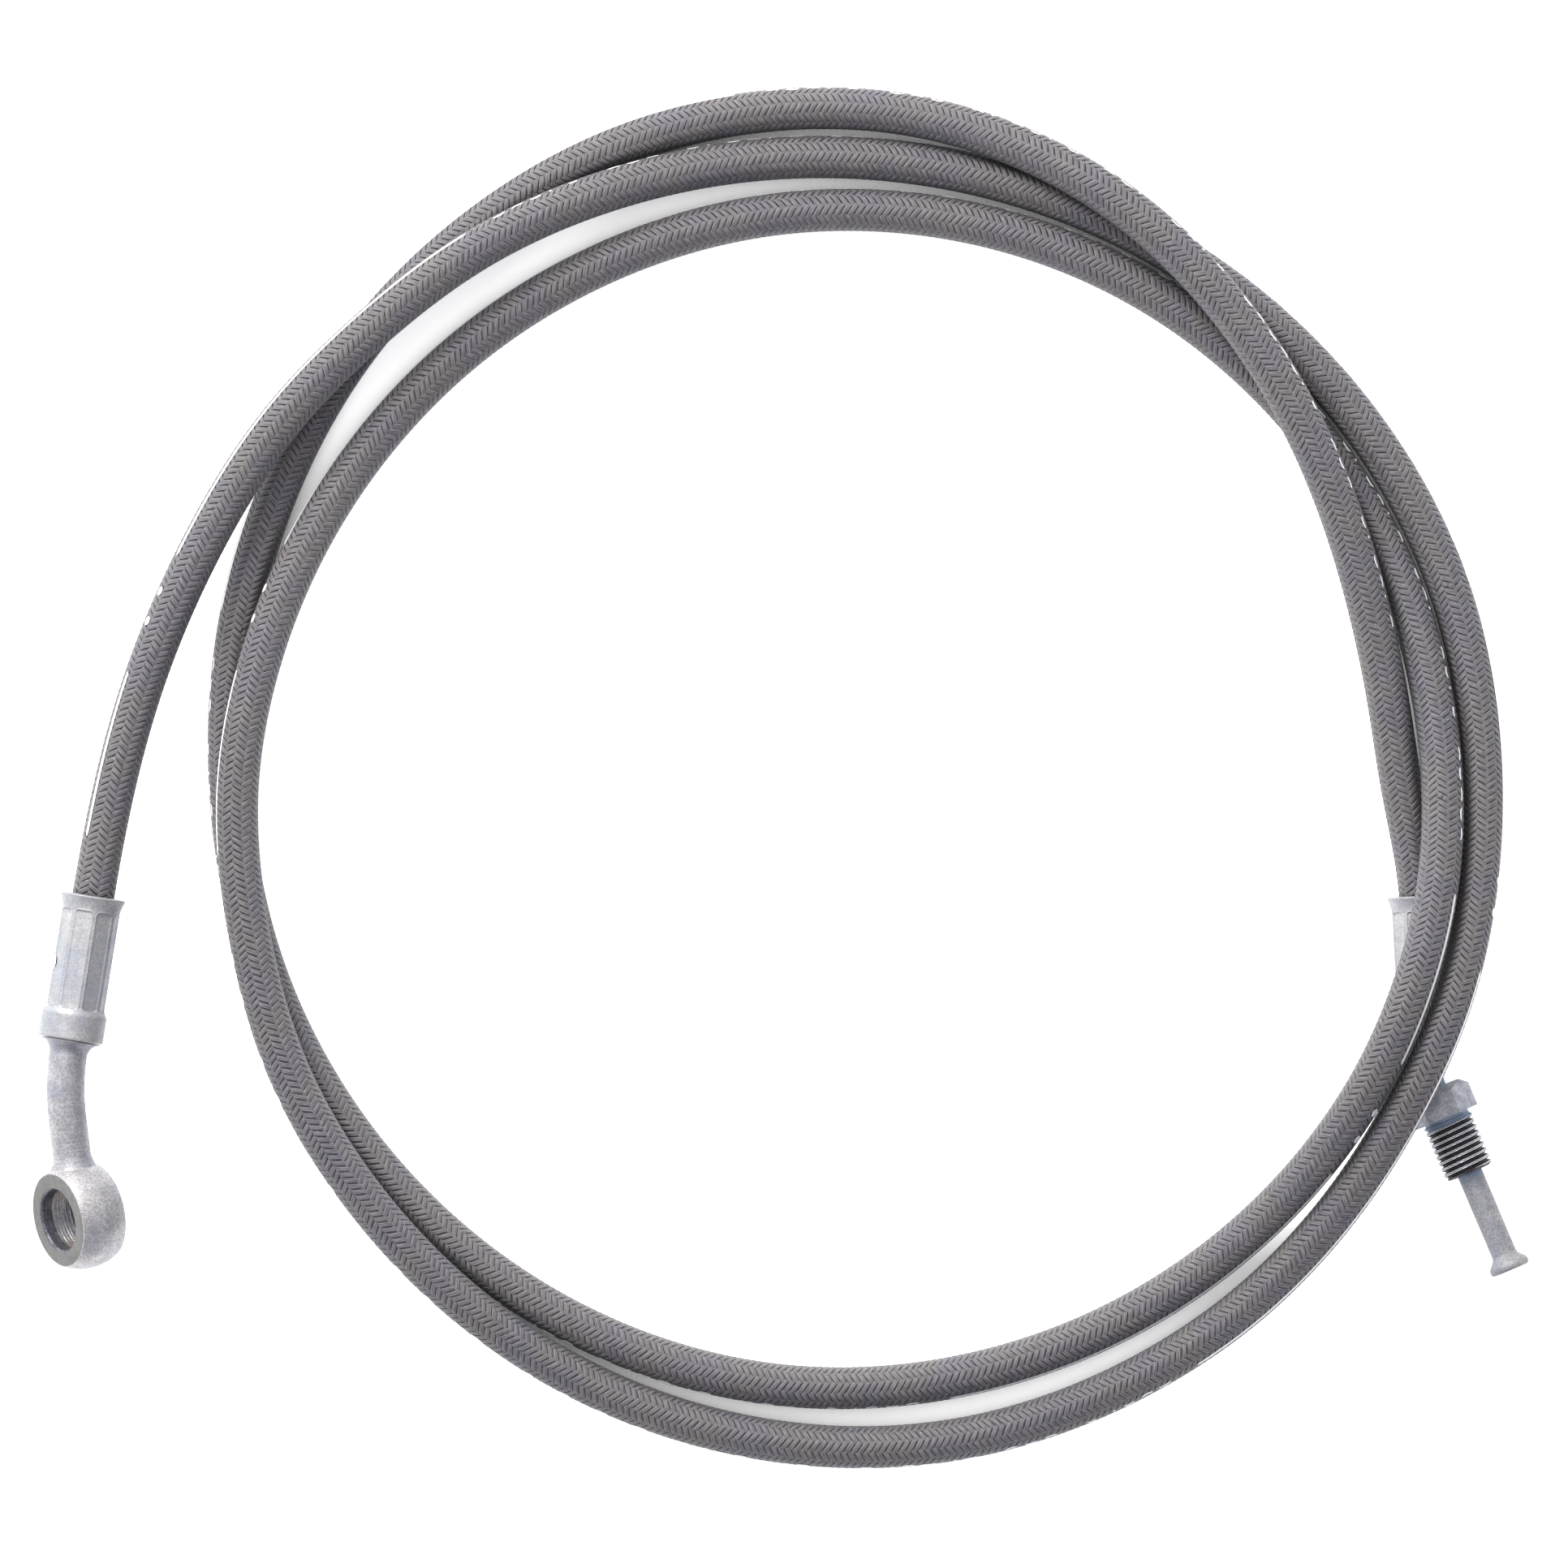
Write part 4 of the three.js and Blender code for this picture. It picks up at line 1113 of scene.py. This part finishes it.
def hose_insert():
    """Barbed tail, neck and collar, with a socket for the steel tube."""
    collar, length = INSERT_COLLAR
    (neck, reach), socket, far = TAIL_NECK, TUBE_OUTER + GAP, -length - GAP
    tail = [(tail_radius(-d), d) for d in np.arange(reach + 0.0005, TAIL_LENGTH, 0.0005)]
    outline = [
        (socket, far), (collar, far), (collar, -GAP), (neck, -GAP), (neck, reach), *tail,
        (TAIL_PASSAGE, TAIL_LENGTH), (TAIL_PASSAGE, -TUBE_START + GAP), (socket, -TUBE_START + GAP),
    ]
    mesh = turned_mesh("tube_end_insert", rounded(outline, 0.0003), 96, placement(tube_base, -tube_axis))
    return hose_piece(mesh, plated("insert_zinc"), 35, "fitting_steel", "hose_insert")


def braze_ring():
    """Fillet of brass braze round the tube."""
    near, bore = INSERT_COLLAR[1] + 2 * GAP, TUBE_OUTER + 0.00002
    foot, length = BRAZE["foot"], BRAZE["length"]
    fillet = [
        (foot + (BRAZE["radius"] - foot) * (1 - t) ** 2, near + length * t) for t in np.linspace(0, 1, 9)
    ]
    outline = np.array([(bore, near), *fillet, (bore, near + length)])
    mesh = turned_mesh("braze_fillet", outline, 64, placement(tube_base, tube_axis))
    return hose_piece(mesh, plated("braze_brass"), 50, "braze", "braze_ring")


tube = end_tube()
insert = hose_insert()
braze = braze_ring()

# --- tube nut


def thread_profile(share):
    """Height of the thread between root and crest over one pitch, with a fold along the crest."""
    off = np.abs(share - 0.5)
    fold = THREAD["fold"] * np.exp(-((off / THREAD["fold_width"]) ** 2))
    return np.clip(THREAD["rise"] - off * THREAD["slope"], 0, 1) - fold


def thread_mesh(matrix):
    """Right-hand thread on a hollow shank, fading out at both ends."""
    crest, root, pitch = THREAD["radius"], THREAD["root"], THREAD["pitch"]
    start = HEX_LENGTH - SHANK_OVERLAP
    neck_end = HEX_LENGTH + NUT_NECK[1]
    end = neck_end + THREAD["turns"] * pitch + THREAD["past"]
    z = np.concatenate([np.arange(start, neck_end, 0.0002), np.arange(neck_end, end, THREAD_STEP), [end]])
    z = z[:, None]
    angle = circle(THREAD_SIDES)
    share = ((z - neck_end) / pitch - angle[None, :] / (2 * np.pi)) % 1
    cut = root + (crest - root) * thread_profile(share)
    run_out = smooth(z, neck_end - THREAD["run_in"], neck_end + THREAD["run_out"])
    radius = cut + (np.maximum(cut, crest - THREAD["crest"]) - cut) * (1 - run_out)
    radius = np.where(z < neck_end, NUT_NECK[0], radius)
    tip = towards_end(z, end, THREAD["tip_length"])
    radius = np.minimum(radius, crest - THREAD["tip"] * tip)
    outside = [radius * np.cos(angle), radius * np.sin(angle), np.broadcast_to(z, radius.shape)]
    bore = np.array([(NUT_BORE + 0.0004, end), (NUT_BORE, end - 0.0004), (NUT_BORE, start)])
    points = np.concatenate([np.stack(outside, -1).reshape(-1, 3), turned(bore, THREAD_SIDES)])
    return make_mesh("shank", placed(points, matrix), ring_quads(len(z) + 3, THREAD_SIDES, True))


def hexagon_mesh(matrix):
    """Plain hexagonal prism, from which the nut is made, with a corner at the turn angle."""
    corner = NUT_ACROSS / math.sqrt(3)
    angle = np.radians(NUT_TURN) + np.arange(6) * np.pi / 3
    ring = np.stack([corner * np.cos(angle), corner * np.sin(angle)], -1)
    ends = [np.column_stack([ring, np.full(6, height)]) for height in (0, HEX_LENGTH)]
    return strand_mesh("flare_tube_nut", [placed(np.array(ends), matrix)])


def nut_blank(matrix):
    """Turned envelope that chamfers the hexagon's top corners and dishes its bore."""
    wide, top, length = NUT_ACROSS / math.sqrt(3) + 0.001, -0.00001, HEX_LENGTH
    outline = [
        (NUT_BORE + 0.0012, top), (NUT_CROWN[0], top), (wide - 0.0010, NUT_CROWN[1]),
        (wide, NUT_CROWN[1] + 0.0006), (wide, length - 0.0003), (wide - 0.0007, length + 0.0001),
        (NUT_BORE, length + 0.0001), (NUT_BORE, 0.0012),
    ]
    return turned_mesh("blank", rounded(outline, 0.0004), 128, matrix)


def tube_nut():
    matrix = placement(nut_top, nut_axis)
    # Thread crests with painted highlight, thread grooves with painted shade.
    materials = nut_steel(), plated("thread_crest_painted_light"), plated("thread_groove_painted_shade")
    piece = make_object(hexagon_mesh(matrix), *materials)
    boolean(piece, nut_blank(matrix), "INTERSECT")
    bevel = piece.modifiers.new("bevel", "BEVEL")
    bevel.width = NUT_BEVEL
    bevel.segments = 3
    bevel.limit_method = "ANGLE"
    bevel.angle_limit = math.radians(35)
    bake_modifiers(piece)
    boolean(piece, thread_mesh(matrix), "UNION")
    show_parts(piece.data, nut_parts(piece.data), 30)
    return finish_piece(piece, "nut", "nut_steel", "tube_nut")


def nut_parts(mesh):
    """Material index of each face: 0 hexagon, neck and bore, 1 thread crest with painted highlight, 2
    thread groove with painted shade.
    """
    offset, at = face_places(mesh, nut_top, nut_axis)
    radial = np.linalg.norm(offset - at[:, None] * np.array(nut_axis), axis=1)
    threaded = at > HEX_LENGTH + NUT_NECK[1] + 0.7 * THREAD["run_out"]
    part = np.zeros(len(at), np.int32)
    part[threaded & (radial > THREAD["root"] - 0.0001)] = 2
    part[threaded & (radial > THREAD["radius"] - 0.00011)] = 1
    return part


def nut_steel():
    """Darker satin plating that turns blue towards the shank."""
    light, dark, blue, scale, (least, most) = PLATING["nut_zinc"]
    n = new_material("nut_zinc")
    mottle = n.noise(n.position(), scale, 4.0, 0.6)
    at = n.maths("MULTIPLY", n.along(nut_top, nut_axis), 1 / HEX_LENGTH)
    uneven = n.maths("ADD", at, n.maths("MULTIPLY", n.maths("SUBTRACT", mottle, 0.5), 0.4))
    turn_blue = n.ramp(n.maths("MULTIPLY", uneven, 0.5), [(0.47, 0.0), (0.52, 0.8)])
    colour = n.mix(turn_blue, n.ramp(mottle, [(0.35, dark), (0.62, light)]), blue)
    colour, normal = grained(n, colour, dark, 0.75)
    roughness = n.ramp(mottle, [(0.3, most), (0.7, least)])
    return n.finish(base_color=colour, roughness=roughness, normal=normal, metallic=PLATED_METAL)


nut = tube_nut()

# --- floor and light

FLOOR_SIZE = 60
FLOOR_WHITE = (0.93, 0.93, 0.935)
# Painted glow of the floor where it is open.
FLOOR_GLOW = 0.75
OPEN_REACH = 0.02
LIGHT_FROM = (-0.55, 1.0, 0.95)
SKY = [
    (0.0, (0.04, 0.04, 0.06)), (0.42, (0.20, 0.20, 0.25)), (0.75, (0.80, 0.80, 0.82)),
    (1.0, (1.0, 1.0, 0.98)),
]
SKY_STRENGTH = 1.3


def make_floor():
    """White ground with a painted glow where it is open and painted shade in tight gaps."""
    half = FLOOR_SIZE / 2
    points = [(-half, -half, 0), (half, -half, 0), (half, half, 0), (-half, half, 0)]
    n = new_material("floor_white")
    colour = n.ramp(n.noise(n.position(), 2.0, 2.0), [(0.3, FLOOR_WHITE), (0.7, 0.94)])
    openness = n.openness(OPEN_REACH)
    # Painted shade: the floor's colour darkens in tight gaps.
    colour = n.mix(1.0, colour, n.ramp(openness, [(0.03, 0.15), (0.22, 1.0)]), "MULTIPLY")
    # Painted glow: the floor gives off light where it is open.
    glow = n.ramp(openness, [(0.12, 0.0), (0.4, FLOOR_GLOW)])
    material = n.finish(base_color=colour, roughness=0.9, emission_color=glow, emission_strength=1.0)
    make_object(make_mesh("floor", points, [(0, 1, 2, 3)]), material)


def soft_light(name, place, size, power, colour):
    data = bpy.data.lights.new(name, "AREA")
    data.shape = "SQUARE"
    data.size = size
    data.energy = power
    data.color = colour
    light = bpy.data.objects.new(name, data)
    light.location = place
    light.rotation_mode = "QUATERNION"
    light.rotation_quaternion = (-Vector(place)).to_track_quat("-Z", "Y")
    bpy.context.scene.collection.objects.link(light)


def make_world():
    """White surroundings, brightest over the far left and darkest over the near right."""
    world = bpy.data.worlds.new("studio")
    n = Nodes(world)
    place = n.add("TexCoord").outputs["Generated"]
    towards = n.vector_maths("DOT_PRODUCT", place, Vector(LIGHT_FROM).normalized())["Value"]
    background = n.tree.nodes["Background"]
    n.feed(background.inputs["Color"], n.ramp(n.maths("MULTIPLY_ADD", towards, 0.5, 0.5), SKY))
    n.feed(background.inputs["Strength"], SKY_STRENGTH)
    bpy.context.scene.world = world


make_floor()
make_world()
soft_light("key", (-1.0, 1.7, 1.5), 1.1, 66, (1.0, 0.99, 0.97))
bpy.context.scene.view_settings.view_transform = "Standard"
